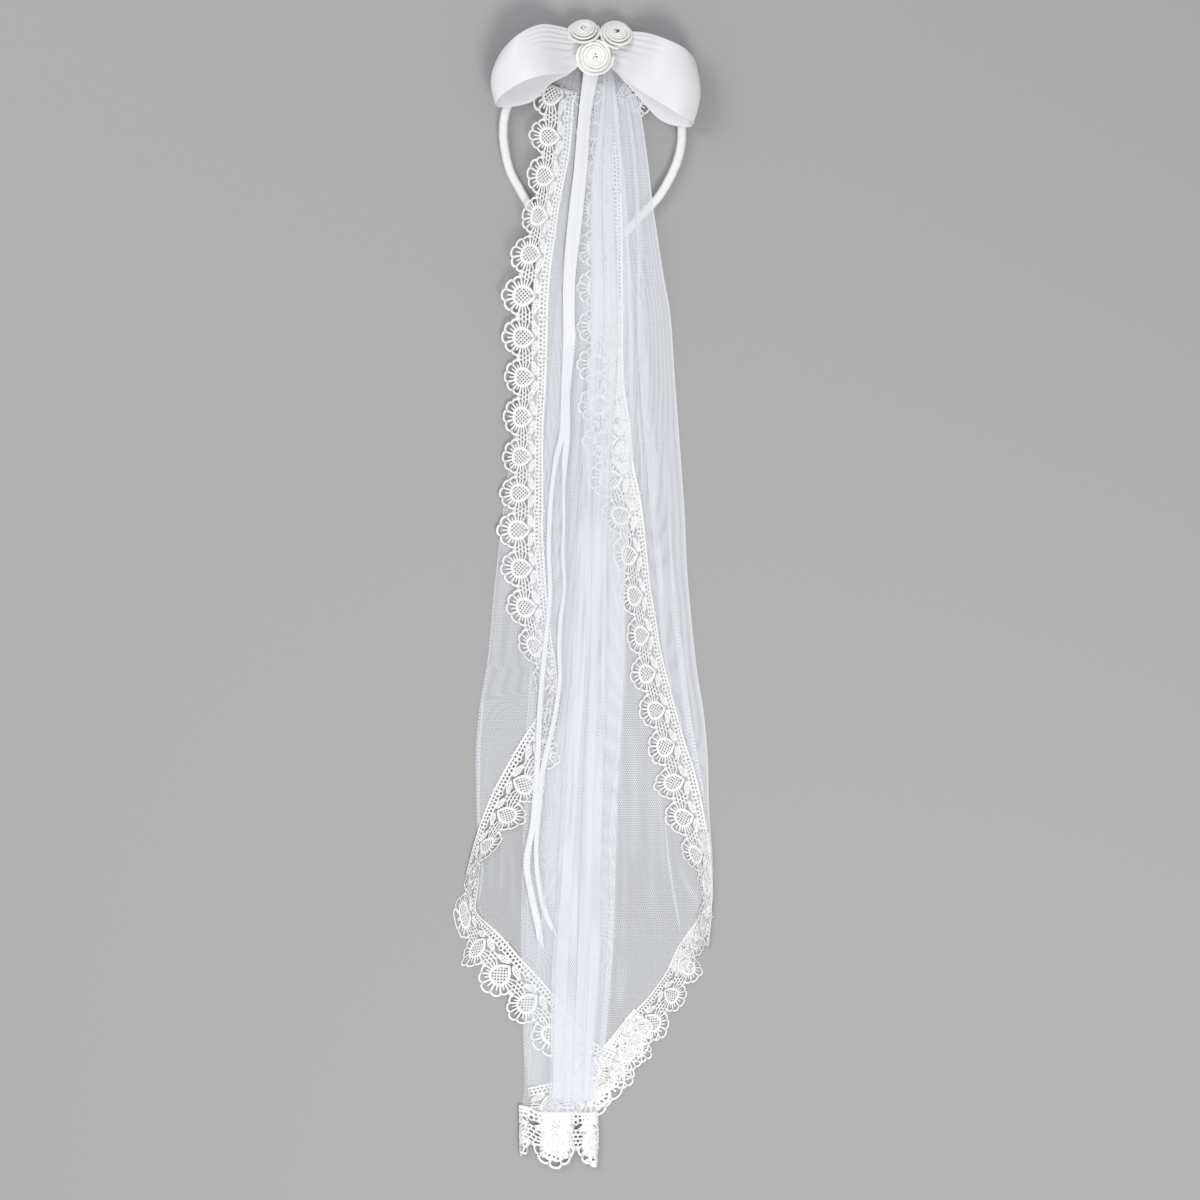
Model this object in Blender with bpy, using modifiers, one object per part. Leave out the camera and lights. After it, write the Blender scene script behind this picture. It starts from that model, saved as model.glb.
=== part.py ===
# A child's communion veil laid flat: a satin-wrapped headband with a bow, three rosettes and two
# streamers, and one gathered tulle panel folded on itself, edged with scalloped lace.
# Sizes are in millimetres and become metres where a mesh is made. X runs to the right, Y towards
# the crown of the headband and Z up from the surface that the veil lies on.
import math

import bmesh
import bpy
import numpy as np
from mathutils import Matrix

MM = 0.001

# Driving dimensions
CLOTH = 1.0  # wall of the net and of the lace
GAP = 0.3  # clearance between neighbouring pieces
LAYER = CLOTH + GAP  # rise from one folded layer to the next
SEAM = 1.2  # from a seam line to its lace, whose chords stay clear of the net's
BAND_DEPTH = 8.0
BAND_THICK = 6.3
SATIN = 1.0
RIBBON_WIDE = 6.3
LACE_WIDE = 32.0  # seam to the tip of a scallop
LACE_NOTCH = 22.0  # seam to the notch between two scallops
LACE_PITCH = 28.4  # one flower of the lace
LACE_STATIONS = 6  # sections along one flower
ROSETTE_HIGH = 9.0
EYE_HIGH = 0.82  # floor of a rosette's eye, as a share of its height
ROSETTE_SIDES = 16
STONE_WIDE = 3.8
STONE_TOP = 2.2  # across the flat top of a stone
STONE_HIGH = 1.4
STONE_SIDES = 10
CENTRE = (0.05, 0.85)  # middle of the whole outline, moved to the origin

# Colours, roughness and metallic value of each material
SATIN_LOOK = ((0.93, 0.92, 0.93), 0.32, 0.0)
ROSE_LOOK = ((0.93, 0.91, 0.86), 0.45, 0.0)
NET_LOOK = ((0.82, 0.85, 0.92), 0.7, 0.0)
LACE_LOOK = ((0.93, 0.91, 0.87), 0.75, 0.0)
STONE_LOOK = ((0.95, 0.95, 0.97), 0.05, 0.0)


def table(columns, *lines):
    # the named columns of a short table
    return dict(zip(columns.split(), np.array(lines, float).T))


# Middle line of the headband, from its left end over the crown to its right end
HEADBAND = table(
    "x y",
    (-24, 250), (-32, 264), (-43, 283), (-51, 299), (-55, 322), (-52, 342), (-39, 363), (-16, 380),
    (11, 386), (37, 380), (59, 361), (69, 333), (68, 308), (56, 282), (40, 264), (27, 250),
)

# The two edges of each bow loop's satin, from the middle over the front, round the end and back
LEFT_LOOP = table(
    "upper_x upper_y upper_z lower_x lower_y lower_z",
    (0.4, 386, 12, 0.4, 374, 12),
    (-11, 394, 12.5, -8, 367, 15),
    (-28, 398, 25, -26, 364, 28),
    (-45, 389, 30, -41, 358, 31),
    (-55, 379, 25, -54, 350, 26),
    (-58, 373, 17, -58, 346, 17),
    (-54, 380, 11, -51, 342, 11),
    (-40, 390, 9, -35, 345, 9),
    (-26, 394, 9, -22, 360, 9),
    (-11, 393, 9, -8, 367, 9),
    (0.4, 386, 9, 0.4, 374, 9),
)
RIGHT_LOOP = table(
    "upper_x upper_y upper_z lower_x lower_y lower_z",
    (15, 385, 12, 15, 373, 12),
    (27, 387, 10, 24, 366, 14),
    (34, 390, 10.5, 30, 360, 20),
    (46, 394, 20, 39, 353, 27),
    (60, 390, 29, 53, 344, 32),
    (73, 381, 27, 68, 335, 30),
    (80, 370, 18, 77, 331, 19),
    (74, 374, 11, 72, 327, 11),
    (60, 382, 9, 55, 332, 9),
    (44, 386, 9, 38, 350, 9),
    (27, 386, 9, 24, 365, 9),
    (15, 385, 9, 15, 373, 9),
)
LOOP_STATIONS = 24
LOOP_COLUMNS = 8
BAND_STATIONS = 44
PLEATS = 3  # folds across the satin where it is pinched
PLEAT_HIGH = 1.2
LOOP_BULGE = 3.0  # swell of the satin between its two edges, up over the front
END_BULGE = 4.5  # and outwards at the loop's end

# The block of pinched satin between the loops
BOW_MIDDLE_LOW = (0.8, 373.0, BAND_DEPTH + GAP)
BOW_MIDDLE_HIGH = (14.4, 387.0, 16.0)
BOW_MIDDLE_ROUNDING = 2.0

# Where the panel's layers have their cross sections, so that each layer bends where the next one does
SECTIONS = (
    376, 358, 340, 322, 304, 288, 268, 246, 226, 206, 186, 165, 130, 95, 60, 25, -10, -34, -56,
    -84, -108, -132, -160, -182, -200, -222, -237, -252, -268, -283, -299, -314, -330, -343,
)
CLIMB = (165, 246)  # the net climbs here over the band's two ends
FALL = (286, 366)  # and comes down again here to the gather
GATHER_RISE = 0.5
STRIP_END = (-140, -75)  # the pleat comes down here, below the end of the front strip
LACE_CLIMB = (-60, -48)  # the left hem's lace climbs here, along X, over the lowest layer

# Fold and seam lines of the panel, from the gather under the bow down to the hem
LEFT_FOLD = table(
    "x y",
    (0, 376), (-7, 340), (-15, 312), (-26, 262), (-35, 206), (-48, 111), (-55, 60), (-61, 7),
    (-66, -46), (-71, -75), (-74, -106), (-74, -132), (-73, -169), (-71, -194), (-73, -218),
)
RIGHT_FOLD = table(
    "x y",
    (21, 376), (31, 357), (40, 342), (46, 304), (50, 270), (57, 224), (62, 195), (65, 152),
    (69, 98), (72, 55), (74, 12), (80, -49), (85, -81), (88, -113), (89, -150), (92, -195),
    (89, -214),
)
LEFT_SEAM = table(
    "x y",
    (-3, 362), (-5, 346), (-8, 312), (-15, 276), (-19, 248), (-23, 214), (-25, 150), (-27, 115),
    (-27, 66), (-27, 40), (-25, 5), (-22, -25), (-17, -60),
)
FRONT_FOLD = table(
    "x y",
    (0, 362), (-3, 340), (-8, 276), (-11, 248), (-13, 206), (-14, 66), (-14, -60),
)
TURNED_SEAM = table(
    "x y",
    (-24, -74), (-43, -103), (-55, -124), (-65, -144), (-74, -169), (-81, -195),
)
LEFT_HEM = table(
    "x y",
    (-72, -184), (-72, -198), (-74, -214), (-73, -223), (-58, -237), (-42, -255), (-22, -274),
    (-5, -307), (12, -315),
)
RIGHT_HEM = table(
    "x y",
    (87, -219), (68, -245), (59, -264), (45, -283), (29, -299), (17, -315), (2, -332), (-12, -339),
    (-38, -345),
)
RIGHT_SEAM = table(
    "x y",
    (20, 360), (25, 340), (28, 276), (29, 170), (30, 144), (34, 118), (36, 92), (42, 62), (48, 6),
    (52, -18), (57, -46), (71, -99), (80, -127), (88, -167), (90, -184),
)
MIDDLE_HEM = table("x y", (-43, -362.2), (-26, -362.2), (10, -362.2))

# Outline of the lowest layer, whose lower end narrows along both hems to the middle pleat
BACK_LEFT = table(
    "x y",
    *zip(LEFT_FOLD["x"], LEFT_FOLD["y"]), (-58, -237), (-42, -255), (-41, -300), (-38, -344),
)
BACK_RIGHT = table(
    "x y",
    *zip(RIGHT_FOLD["x"], RIGHT_FOLD["y"]), *zip(RIGHT_HEM["x"], RIGHT_HEM["y"]),
)

# Inner edge of the stretch turned back at the left, down its fold and then along its turned lace
TURN_INNER = table(
    "x y",
    *zip(FRONT_FOLD["x"], FRONT_FOLD["y"]), (-24, -74), (-43, -103), (-55, -124), (-65, -144), (-74, -169),
)

# Share of the lace's width that shows, at even steps along each seam, where it tilts or turns under
LEFT_REACH = (
    0.98, 0.98, 0.92, 0.74, 0.84, 1.05, 1.04, 0.97, 0.9, 0.86, 0.95, 1.04, 1.0, 0.93, 0.7, 0.5,
)
TURNED_REACH = (0.4, 1, 1, 1, 0.85, 0.35, 0.2)
LEFT_HEM_REACH = (0.25, 0.45, 0.8, 1.05, 1.05, 1, 1, 1)
RIGHT_HEM_REACH = (0.2, 0.55, 0.74, 0.8, 0.93, 1, 1.1, 1.1, 1)
RIGHT_REACH = (
    0.9, 0.95, 1, 1.02, 1.03, 1.03, 1, 0.9, 0.75, 0.71, 0.7, 0.8, 0.88, 0.96, 0.8, 0.5,
)
MIDDLE_REACH = (1.15, 1.235, 1.15)

# Sections of the middle pleat: its left edge, both sides of its dense gathers and its right edge
MIDDLE_PLEAT = table(
    "y left dense_left dense_right right",
    (376, 2, 6, 17, 20),
    (340, -2, 6, 19, 25),
    (276, -7, 6, 22, 31),
    (210, -16, 6, 25, 35),
    (160, -21, 3, 25, 36),
    (110, -25, -1, 22, 36),
    (50, -30, -3, 20, 33),
    (7, -33, -5, 19, 30),
    (-55, -36, -8, 18, 29),
    (-115, -40, -13, 16, 26),
    (-170, -41, -16, 14, 24),
    (-210, -42, -18, 13, 23),
    (-255, -42, -21, 13, 21),
    (-305, -41, -22, 10, 17),
    (-345, -40, -23, 8, 12),
    (-363, -43, -25, 7, 10),
)
PLEAT_RIDGES = 4
RIDGE_HIGH = 1.6
RIDGE_FADE = (220, 322)  # the ridges sink here into the gather
RIDGE_CLIMB = (-8, -2)  # a ribbon climbs here, along X from the gathers' left edge, on to them

# Both edges of the hidden stretch under the middle pleat
UNDER_LEFT = table("x y", (-8, -31), (-9, -130), (-22, -154), (-35, -178), (-38, -214), (-38, -254))
UNDER_RIGHT = table("x y", (15, -31), (14, -130), (13, -230), (10, -300))

# Middle line of each streamer and its turn from lying flat, in degrees
OUTER_STREAMER = table(
    "x y turn",
    (2.8, 369, 0), (-4.2, 312, 0), (-12.2, 206, 15), (-18, 102, 45), (-23, 22, 45), (-21, 4, 45),
    (-26, -23, 45), (-29, -74, 45), (-31, -113, 45), (-34, -158, 45), (-38, -180, 45),
    (-38, -197, 45), (-31, -230, 45), (-29, -245, 40),
)
INNER_STREAMER = table(
    "x y turn",
    (9.5, 369, 0), (2.5, 312, 0), (-5.8, 206, 30), (-13, 102, 55), (-14, 22, 60), (-12, 7, 60),
    (-17, -38, 60), (-15, -60, 60), (-20, -90, 55), (-27, -120, 50), (-30, -150, 60),
    (-32, -184, 65), (-27, -218, 60), (-16, -243, 40),
)
STREAMER_STATIONS = 40

# Place of each rosette's back, its lean in degrees towards the crown and the right, and its radius
ROSETTES = {
    "lower": (8.3, 375.6, 16.4, 0.0, 0.0, 12.3),
    "left": (1.1, 392.6, 12.9, 50.0, 0.0, 11.2),
    "right": (24.8, 391.6, 13.2, 42.0, 10.0, 11.2),
}

# Half section of a rosette, as shares of its radius and height: rings of petals round the eye
PETAL_RINGS = table(
    "out up",
    (0, EYE_HIGH), (0.19, EYE_HIGH), (0.26, 0.96), (0.38, 1.0), (0.45, 0.8), (0.56, 0.86),
    (0.68, 0.83), (0.74, 0.58), (0.85, 0.62), (0.97, 0.5), (1, 0.2), (0.8, 0), (0, 0),
)


def points_of(lines):
    return np.column_stack([lines["x"], lines["y"]])


def smooth_line(points, count):
    # evenly spaced points on a smooth line through the given ones
    points = np.asarray(points, float)
    ends = np.vstack([2 * points[0] - points[1], points, 2 * points[-1] - points[-2]])
    t = np.linspace(0, 1, 12, endpoint=False)[:, None]
    spans = []
    for a, b, c, d in zip(ends, ends[1:], ends[2:], ends[3:]):
        cubic = (3 * (b - c) + d - a) * t**3 + (2 * a - 5 * b + 4 * c - d) * t**2
        spans.append(0.5 * (cubic + (c - a) * t + 2 * b))
    dense = np.vstack([*spans, points[-1:]])
    run = np.concatenate([[0], np.cumsum(np.linalg.norm(np.diff(dense, axis=0), axis=1))])
    even = np.linspace(0, run[-1], count)
    return np.column_stack([np.interp(even, run, axis) for axis in dense.T])


def at_heights(lines, heights):
    # the smooth line's points at the given y values
    dense = smooth_line(points_of(lines), 400)
    order = np.argsort(dense[:, 1])
    return np.column_stack([np.interp(heights, dense[order, 1], dense[order, 0]), heights])


def ease(value, start, end):
    t = np.clip((np.asarray(value, float) - start) / (end - start), 0, 1)
    return t * t * (3 - 2 * t)


def lift(y):
    # the underside of the lowest layer: flat, then over the band's ends and down to the gather
    over = BAND_DEPTH + GAP
    at = np.array(sorted(SECTIONS), float)
    return np.interp(y, at, over * ease(at, *CLIMB) - (over - GATHER_RISE) * ease(at, *FALL))


def sections_between(high, low):
    return np.array([y for y in SECTIONS if low <= y <= high], float)


def layer(level):
    # the underside of the sheet that lies on so many others
    return lambda x, y: lift(y) + level * LAYER


def pleat_level(y):
    # the layers under the middle pleat: three beside the front strip and two below it
    return 2 + ease(y, *STRIP_END)


def on_pleat(x, y):
    return lift(y) + pleat_level(y) * LAYER


def ridge_height(y):
    return RIDGE_HIGH * (1 - ease(y, *RIDGE_FADE))


def on_gathers(x, y):
    # over the middle pleat and, further right, over the ridges of its dense gathers
    rows = MIDDLE_PLEAT["y"][::-1]
    past = x - np.interp(y, rows, MIDDLE_PLEAT["dense_left"][::-1])
    return on_pleat(x, y) + ridge_height(y) * ease(past, *RIDGE_CLIMB)


def climbing(x, y):
    return lift(y) + LAYER * ease(x, *LACE_CLIMB)


def flat_on_surface(x, y):
    return np.zeros_like(x)


def make_material(name, look):
    colour, roughness, metallic = look
    material = bpy.data.materials.new(name)
    material.use_nodes = True
    shader = material.node_tree.nodes["Principled BSDF"]
    shader.inputs["Base Color"].default_value = (*colour, 1)
    shader.inputs["Roughness"].default_value = roughness
    shader.inputs["Metallic"].default_value = metallic
    return material


def add_object(name, mesh, look, collection):
    mesh.materials.append(make_material(name, look))
    mesh.shade_smooth()
    mesh.set_sharp_from_angle(angle=math.radians(40))
    made = bpy.data.objects.new(name, mesh)
    collection.objects.link(made)
    return made


def add_sheet(name, grid, thick, look, collection):
    # a wall on a grid of underside points, rows by columns by three
    rows, columns = grid.shape[:2]
    mesh = bpy.data.meshes.new(name)
    shape = bmesh.new()
    bmesh.ops.create_grid(shape, x_segments=columns - 1, y_segments=rows - 1, size=1)
    for vertex in shape.verts:
        column = round((vertex.co.x + 1) / 2 * (columns - 1))
        row = round((vertex.co.y + 1) / 2 * (rows - 1))
        vertex.co = (grid[row, column] - (*CENTRE, 0)) * MM
    shape.normal_update()
    if sum(face.normal.z for face in shape.faces) < 0:
        bmesh.ops.reverse_faces(shape, faces=shape.faces)
    shape.to_mesh(mesh)
    shape.free()
    made = add_object(name, mesh, look, collection)
    solid = made.modifiers.new("wall", "SOLIDIFY")
    solid.thickness = thick * MM
    solid.offset = 1
    return made


def spread(left, right, columns, height):
    # a grid between two lines of plan points, raised by the height of each point
    across = np.linspace(0, 1, columns)[None, :, None]
    plan = left[:, None] * (1 - across) + right[:, None] * across
    return np.dstack([plan, height(plan[..., 0], plan[..., 1])])


def left_of(line):
    # the level unit direction to the left of a line's run, at each of its points
    along = np.gradient(line[:, :2], axis=0)
    along /= np.linalg.norm(along, axis=1)[:, None]
    return np.column_stack([-along[:, 1], along[:, 0]])


def make_headband(collection):
    line = smooth_line(points_of(HEADBAND), BAND_STATIONS)
    side = left_of(line) * BAND_THICK / 2
    grid = spread(line - side, line + side, 2, flat_on_surface)
    made = add_sheet("headband", grid, BAND_DEPTH, SATIN_LOOK, collection)
    rounding = made.modifiers.new("padding", "BEVEL")
    rounding.width = BAND_THICK / 3 * MM
    rounding.segments = 2
    rounding.limit_method = "ANGLE"
    rounding.angle_limit = math.radians(60)
    return made


def make_loop(name, lines, collection):
    # satin from the pinched middle over the front, round the end and back underneath
    edges = []
    for edge in ("upper", "lower"):
        corners = np.column_stack([lines[f"{edge}_{axis}"] for axis in "xyz"])
        edges.append(smooth_line(corners, LOOP_STATIONS))
    across = np.linspace(0, 1, LOOP_COLUMNS)[None, :, None]
    grid = edges[0][:, None] * (1 - across) + edges[1][:, None] * across
    run = np.linspace(0, 1, LOOP_STATIONS)[:, None]
    front = 1 - ease(run, 0.3, 0.6)
    pinch = front * (1 - ease(run, 0.05, 0.4)) * ease(run, 0, 0.05)
    swell = np.sin(math.pi * across[..., 0])
    outward = np.sign(grid[LOOP_STATIONS // 2, 0, 0] - grid[0, 0, 0])
    at_end = ease(run, 0.25, 0.5) * (1 - ease(run, 0.5, 0.75))
    grid[..., 0] += outward * END_BULGE * swell * at_end
    pleats = PLEAT_HIGH * pinch * np.sin(2 * math.pi * PLEATS * across[..., 0])
    grid[..., 2] += LOOP_BULGE * swell * front * ease(run, 0.1, 0.3) + pleats
    return add_sheet(name, grid, SATIN, SATIN_LOOK, collection)


def make_bow_middle(collection):
    # the pinched satin that both loops meet
    size = np.subtract(BOW_MIDDLE_HIGH, BOW_MIDDLE_LOW)
    middle = np.add(BOW_MIDDLE_HIGH, BOW_MIDDLE_LOW) / 2 - (*CENTRE, 0)
    mesh = bpy.data.meshes.new("bow_middle")
    shape = bmesh.new()
    bmesh.ops.create_cube(shape, size=1)
    for vertex in shape.verts:
        vertex.co = (np.array(vertex.co) * size + middle) * MM
    shape.to_mesh(mesh)
    shape.free()
    made = add_object("bow_middle", mesh, SATIN_LOOK, collection)
    rounding = made.modifiers.new("rounding", "BEVEL")
    rounding.width = BOW_MIDDLE_ROUNDING * MM
    rounding.segments = 3
    return made


def seat_of(place):
    x, y, z, lean_crown, lean_right, _ = place
    spot = Matrix.Translation([(x - CENTRE[0]) * MM, (y - CENTRE[1]) * MM, z * MM])
    tip = Matrix.Rotation(math.radians(-lean_crown), 4, "X")
    return spot @ tip @ Matrix.Rotation(math.radians(lean_right), 4, "Y")


def make_rosette(name, place, collection):
    # rolled satin: rings of petals that fall from a small eye to the rim
    out = PETAL_RINGS["out"] * place[5] * MM
    up = PETAL_RINGS["up"] * ROSETTE_HIGH * MM
    corners = np.column_stack([out, np.zeros_like(out), up])
    mesh = bpy.data.meshes.new(name)
    mesh.from_pydata(corners, [(at, at + 1) for at in range(len(corners) - 1)], [])
    made = add_object(name, mesh, ROSE_LOOK, collection)
    turned = made.modifiers.new("turned", "SCREW")
    turned.steps = ROSETTE_SIDES
    turned.render_steps = ROSETTE_SIDES
    turned.use_merge_vertices = True
    turned.merge_threshold = 0.00005
    made.matrix_world = seat_of(place)
    return made


def make_stone(name, place, collection):
    # a cut stone that sits in the rosette's eye
    mesh = bpy.data.meshes.new(name)
    shape = bmesh.new()
    middle = EYE_HIGH * ROSETTE_HIGH + GAP + STONE_HIGH / 2
    bmesh.ops.create_cone(
        shape, cap_ends=True, segments=STONE_SIDES, radius1=STONE_WIDE / 2 * MM,
        radius2=STONE_TOP / 2 * MM, depth=STONE_HIGH * MM, matrix=Matrix.Translation([0, 0, middle * MM]),
    )
    shape.to_mesh(mesh)
    shape.free()
    made = add_object(name, mesh, STONE_LOOK, collection)
    made.matrix_world = seat_of(place)
    return made


def make_net(name, left, right, high, low, columns, level, collection):
    # one stretch of the panel, between two of its fold and seam lines
    heights = sections_between(high, low)
    grid = spread(at_heights(left, heights), at_heights(right, heights), columns, layer(level))
    add_sheet(name, grid, CLOTH, NET_LOOK, collection)


def make_tulle(collection):
    make_net("tulle_back", BACK_LEFT, BACK_RIGHT, 376, -343, 5, 0, collection)
    make_net("tulle_left_turn", LEFT_FOLD, TURN_INNER, 288, -160, 4, 1, collection)
    make_net("tulle_left_front", LEFT_SEAM, FRONT_FOLD, 358, -56, 3, 2, collection)
    make_net("tulle_under_pleat", UNDER_LEFT, UNDER_RIGHT, -34, -252, 4, 1, collection)
    make_net("tulle_right_turn", RIGHT_SEAM, RIGHT_FOLD, 358, -182, 4, 1, collection)


def make_middle_pleat(collection):
    # flat net at the left, then dense gathers that stand up as soft ridges, then flat net again
    heights = np.append(sections_between(376, -222), (-260, -299, -343, -363))
    edges = []
    for name in ("left", "dense_left", "dense_right", "right"):
        edges.append(at_heights({"x": MIDDLE_PLEAT[name], "y": MIDDLE_PLEAT["y"]}, heights))
    columns = 2 * PLEAT_RIDGES + 1
    flat_left = spread(edges[0], edges[1], 3, on_pleat)
    dense = spread(edges[1], edges[2], columns, on_pleat)
    flat_right = spread(edges[2], edges[3], 3, on_pleat)
    dense[..., 2] += (np.arange(columns) % 2) * ridge_height(dense[..., 1])
    grid = np.concatenate([flat_left[:, :-1], dense, flat_right[:, 1:]], axis=1)
    add_sheet("tulle_middle_pleat", grid, CLOTH, NET_LOOK, collection)


def lace_marks(length, first):
    # distances along a seam where the lace has a section, in step with its scallops
    step = LACE_PITCH / LACE_STATIONS
    marks = np.arange((first / step) % 1 * step, length, step)
    marks = np.unique(np.concatenate([[0], marks, [length]]).round(3))
    return marks[np.concatenate([[True], np.diff(marks) > step / 4])]


def make_lace(name, seam, side, first, height, reach, collection):
    # a scalloped strip beside its seam: side is 1 to the left of the seam's run and -1 to the right,
    # and first is the distance along it to the middle of a flower
    line = smooth_line(points_of(seam), 400)
    run = np.concatenate([[0], np.cumsum(np.linalg.norm(np.diff(line, axis=0), axis=1))])
    marks = lace_marks(run[-1], first)
    at = np.column_stack([np.interp(marks, run, axis) for axis in line.T])
    calm = smooth_line(line, 60)
    steps = np.linspace(0, run[-1], len(calm))
    out = side * np.column_stack([np.interp(marks, steps, axis) for axis in left_of(calm).T])
    out /= np.linalg.norm(out, axis=1)[:, None]
    wave = np.abs(np.cos(math.pi * (marks - first) / LACE_PITCH)) ** 0.7
    shown = np.interp(marks, np.linspace(0, run[-1], len(reach)), reach)
    wide = (LACE_NOTCH + (LACE_WIDE - LACE_NOTCH) * wave) * shown
    grid = spread(at + out * SEAM, at + out * wide[:, None], 2, height)
    add_sheet(name, grid, CLOTH, LACE_LOOK, collection)


def make_laces(collection):
    make_lace("lace_left_front", LEFT_SEAM, -1, 13.5, layer(2), LEFT_REACH, collection)
    make_lace("lace_left_turn", TURNED_SEAM, 1, 29.0, layer(1), TURNED_REACH, collection)
    make_lace("lace_left_hem", LEFT_HEM, -1, 54.0, climbing, LEFT_HEM_REACH, collection)
    make_lace("lace_right_hem", RIGHT_HEM, 1, 20.0, layer(0), RIGHT_HEM_REACH, collection)
    make_lace("lace_right_turn", RIGHT_SEAM, -1, 10.0, layer(1), RIGHT_REACH, collection)
    make_lace("lace_middle_hem", MIDDLE_HEM, -1, 24.5, layer(2), MIDDLE_REACH, collection)


def make_streamer(name, lines, collection):
    # a ribbon that lies flat under the bow and turns up on one edge further down
    line = smooth_line(np.column_stack([lines["x"], lines["y"], lines["turn"]]), STREAMER_STATIONS)
    x, y = line[:, 0], line[:, 1]
    turn = np.radians(line[:, 2])
    half = left_of(line) * (RIBBON_WIDE / 2 * np.cos(turn))[:, None]
    low = on_gathers(x, y) + LAYER + GAP
    left = np.column_stack([line[:, :2] + half, low])
    right = np.column_stack([line[:, :2] - half, low + RIBBON_WIDE * np.sin(turn)])
    add_sheet(name, np.stack([left, right], axis=1), SATIN, SATIN_LOOK, collection)


def main():
    for old in list(bpy.data.objects):
        bpy.data.objects.remove(old, do_unlink=True)
    collection = bpy.data.collections.new("communion_veil")
    bpy.context.scene.collection.children.link(collection)
    make_headband(collection)
    make_loop("bow_loop_left", LEFT_LOOP, collection)
    make_loop("bow_loop_right", RIGHT_LOOP, collection)
    make_bow_middle(collection)
    for side, place in ROSETTES.items():
        make_rosette(f"rosette_{side}", place, collection)
        make_stone(f"stone_{side}", place, collection)
    make_tulle(collection)
    make_middle_pleat(collection)
    make_laces(collection)
    make_streamer("streamer_outer", OUTER_STREAMER, collection)
    make_streamer("streamer_inner", INNER_STREAMER, collection)


main()
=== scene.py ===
# A child's communion veil laid flat, dressed over its solids: satin headband and bow, three rolled
# rosettes with stones, two streamers, and a gathered tulle panel edged with scalloped lace.
# Tables are in millimetres in the maker's own frame, whose middle is at centre.
import math

import bpy
import numpy as np
from mathutils import Matrix, Vector


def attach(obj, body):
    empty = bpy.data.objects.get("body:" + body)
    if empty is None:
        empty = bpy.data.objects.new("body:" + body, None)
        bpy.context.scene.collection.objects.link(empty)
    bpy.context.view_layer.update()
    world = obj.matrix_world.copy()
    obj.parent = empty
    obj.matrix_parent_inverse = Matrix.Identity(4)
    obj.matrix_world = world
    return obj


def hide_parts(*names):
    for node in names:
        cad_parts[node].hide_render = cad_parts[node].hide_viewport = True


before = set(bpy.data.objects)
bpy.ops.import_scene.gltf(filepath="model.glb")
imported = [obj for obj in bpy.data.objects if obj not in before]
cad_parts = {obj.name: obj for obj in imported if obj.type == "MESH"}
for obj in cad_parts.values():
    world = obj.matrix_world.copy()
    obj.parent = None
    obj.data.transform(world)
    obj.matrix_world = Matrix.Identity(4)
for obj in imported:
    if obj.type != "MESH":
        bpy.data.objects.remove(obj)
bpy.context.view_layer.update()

mm = 0.001
centre = (0.05, 0.85)

# lines of the panel, as (x, y) from the gather under the bow down to the hem
leftFold = [
    (-6, 376), (-16, 366), (-21, 352), (-20, 332), (-20, 312), (-26, 262), (-35, 206), (-48, 111), (-55, 60),
    (-61, 7), (-66, -46), (-71, -75), (-74, -106), (-74, -132), (-73, -169), (-71, -194), (-73, -218),
]
rightFold = [
    (21, 376), (31, 357), (40, 342), (46, 304), (50, 270), (57, 224), (62, 195), (65, 152), (69, 98),
    (72, 55), (74, 12), (80, -49), (85, -81), (88, -113), (89, -150), (92, -195), (89, -214),
]
leftSeam = [
    (-3, 362), (-5, 346), (-8, 312), (-15, 276), (-19, 248), (-23, 214), (-25, 150), (-27, 115), (-27, 66),
    (-27, 40), (-25, 5), (-22, -25), (-17, -60),
]
frontFold = [(0, 362), (-3, 340), (-8, 276), (-11, 248), (-13, 206), (-14, 66), (-14, -60)]
turnedSeam = [(-24, -74), (-43, -103), (-55, -124), (-65, -144), (-74, -169), (-81, -195)]
leftHem = [
    (-72, -184), (-72, -198), (-74, -214), (-73, -223), (-58, -237), (-42, -255), (-27, -271), (-13, -288),
    (0, -305), (13, -316), (24, -321),
]
rightHem = [
    (87, -219), (68, -245), (59, -264), (45, -283), (29, -299), (17, -315), (2, -332), (-12, -339),
    (-38, -345),
]
rightSeam = [
    (20, 360), (25, 340), (28, 276), (29, 170), (30, 144), (34, 118), (36, 92), (42, 62), (48, 6), (52, -18),
    (57, -46), (71, -99), (80, -127), (88, -167), (90, -184),
]
middleHem = [(-41.5, -357.5), (-35, -359.3), (-27, -362.2), (10, -362.2)]
backLeft = leftFold + [(-58, -237), (-42, -255), (-41, -300), (-38, -344)]
backRight = rightFold + rightHem
turnInner = frontFold + [(-24, -74), (-43, -103), (-55, -124), (-65, -144), (-74, -169)]
underLeft = [(-8, -31), (-9, -130), (-22, -154), (-35, -178), (-38, -214), (-38, -254)]
underRight = [(15, -31), (14, -130), (13, -230), (10, -300)]
# the middle pleat: y, left edge, both sides of its dense gathers, right edge
middlePleat = [
    (376, 2, 16, 20, 21), (340, -2, 13, 21, 25), (310, -5, 9, 21, 28), (276, -7, 6, 22, 31),
    (210, -16, 6, 25, 35), (160, -21, 3, 25, 36), (110, -25, -1, 22, 36), (50, -30, -3, 20, 33),
    (7, -33, -5, 19, 30), (-55, -36, -8, 18, 29), (-115, -40, -13, 16, 26), (-170, -41, -16, 14, 24),
    (-210, -42, -18, 13, 23), (-255, -42, -21, 13, 21), (-305, -41, -22, 10, 17), (-345, -40, -23, 8, 12),
    (-363, -43, -25, 7, 10),
]


def ease(value, start, end):
    t = np.clip((np.asarray(value, float) - start) / (end - start), 0, 1)
    return t * t * (3 - 2 * t)


def between(value, start, whole, fade, end):
    # comes in over the first two values and goes out over the last two
    return ease(value, start, whole) * (1 - ease(value, fade, end))


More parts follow.
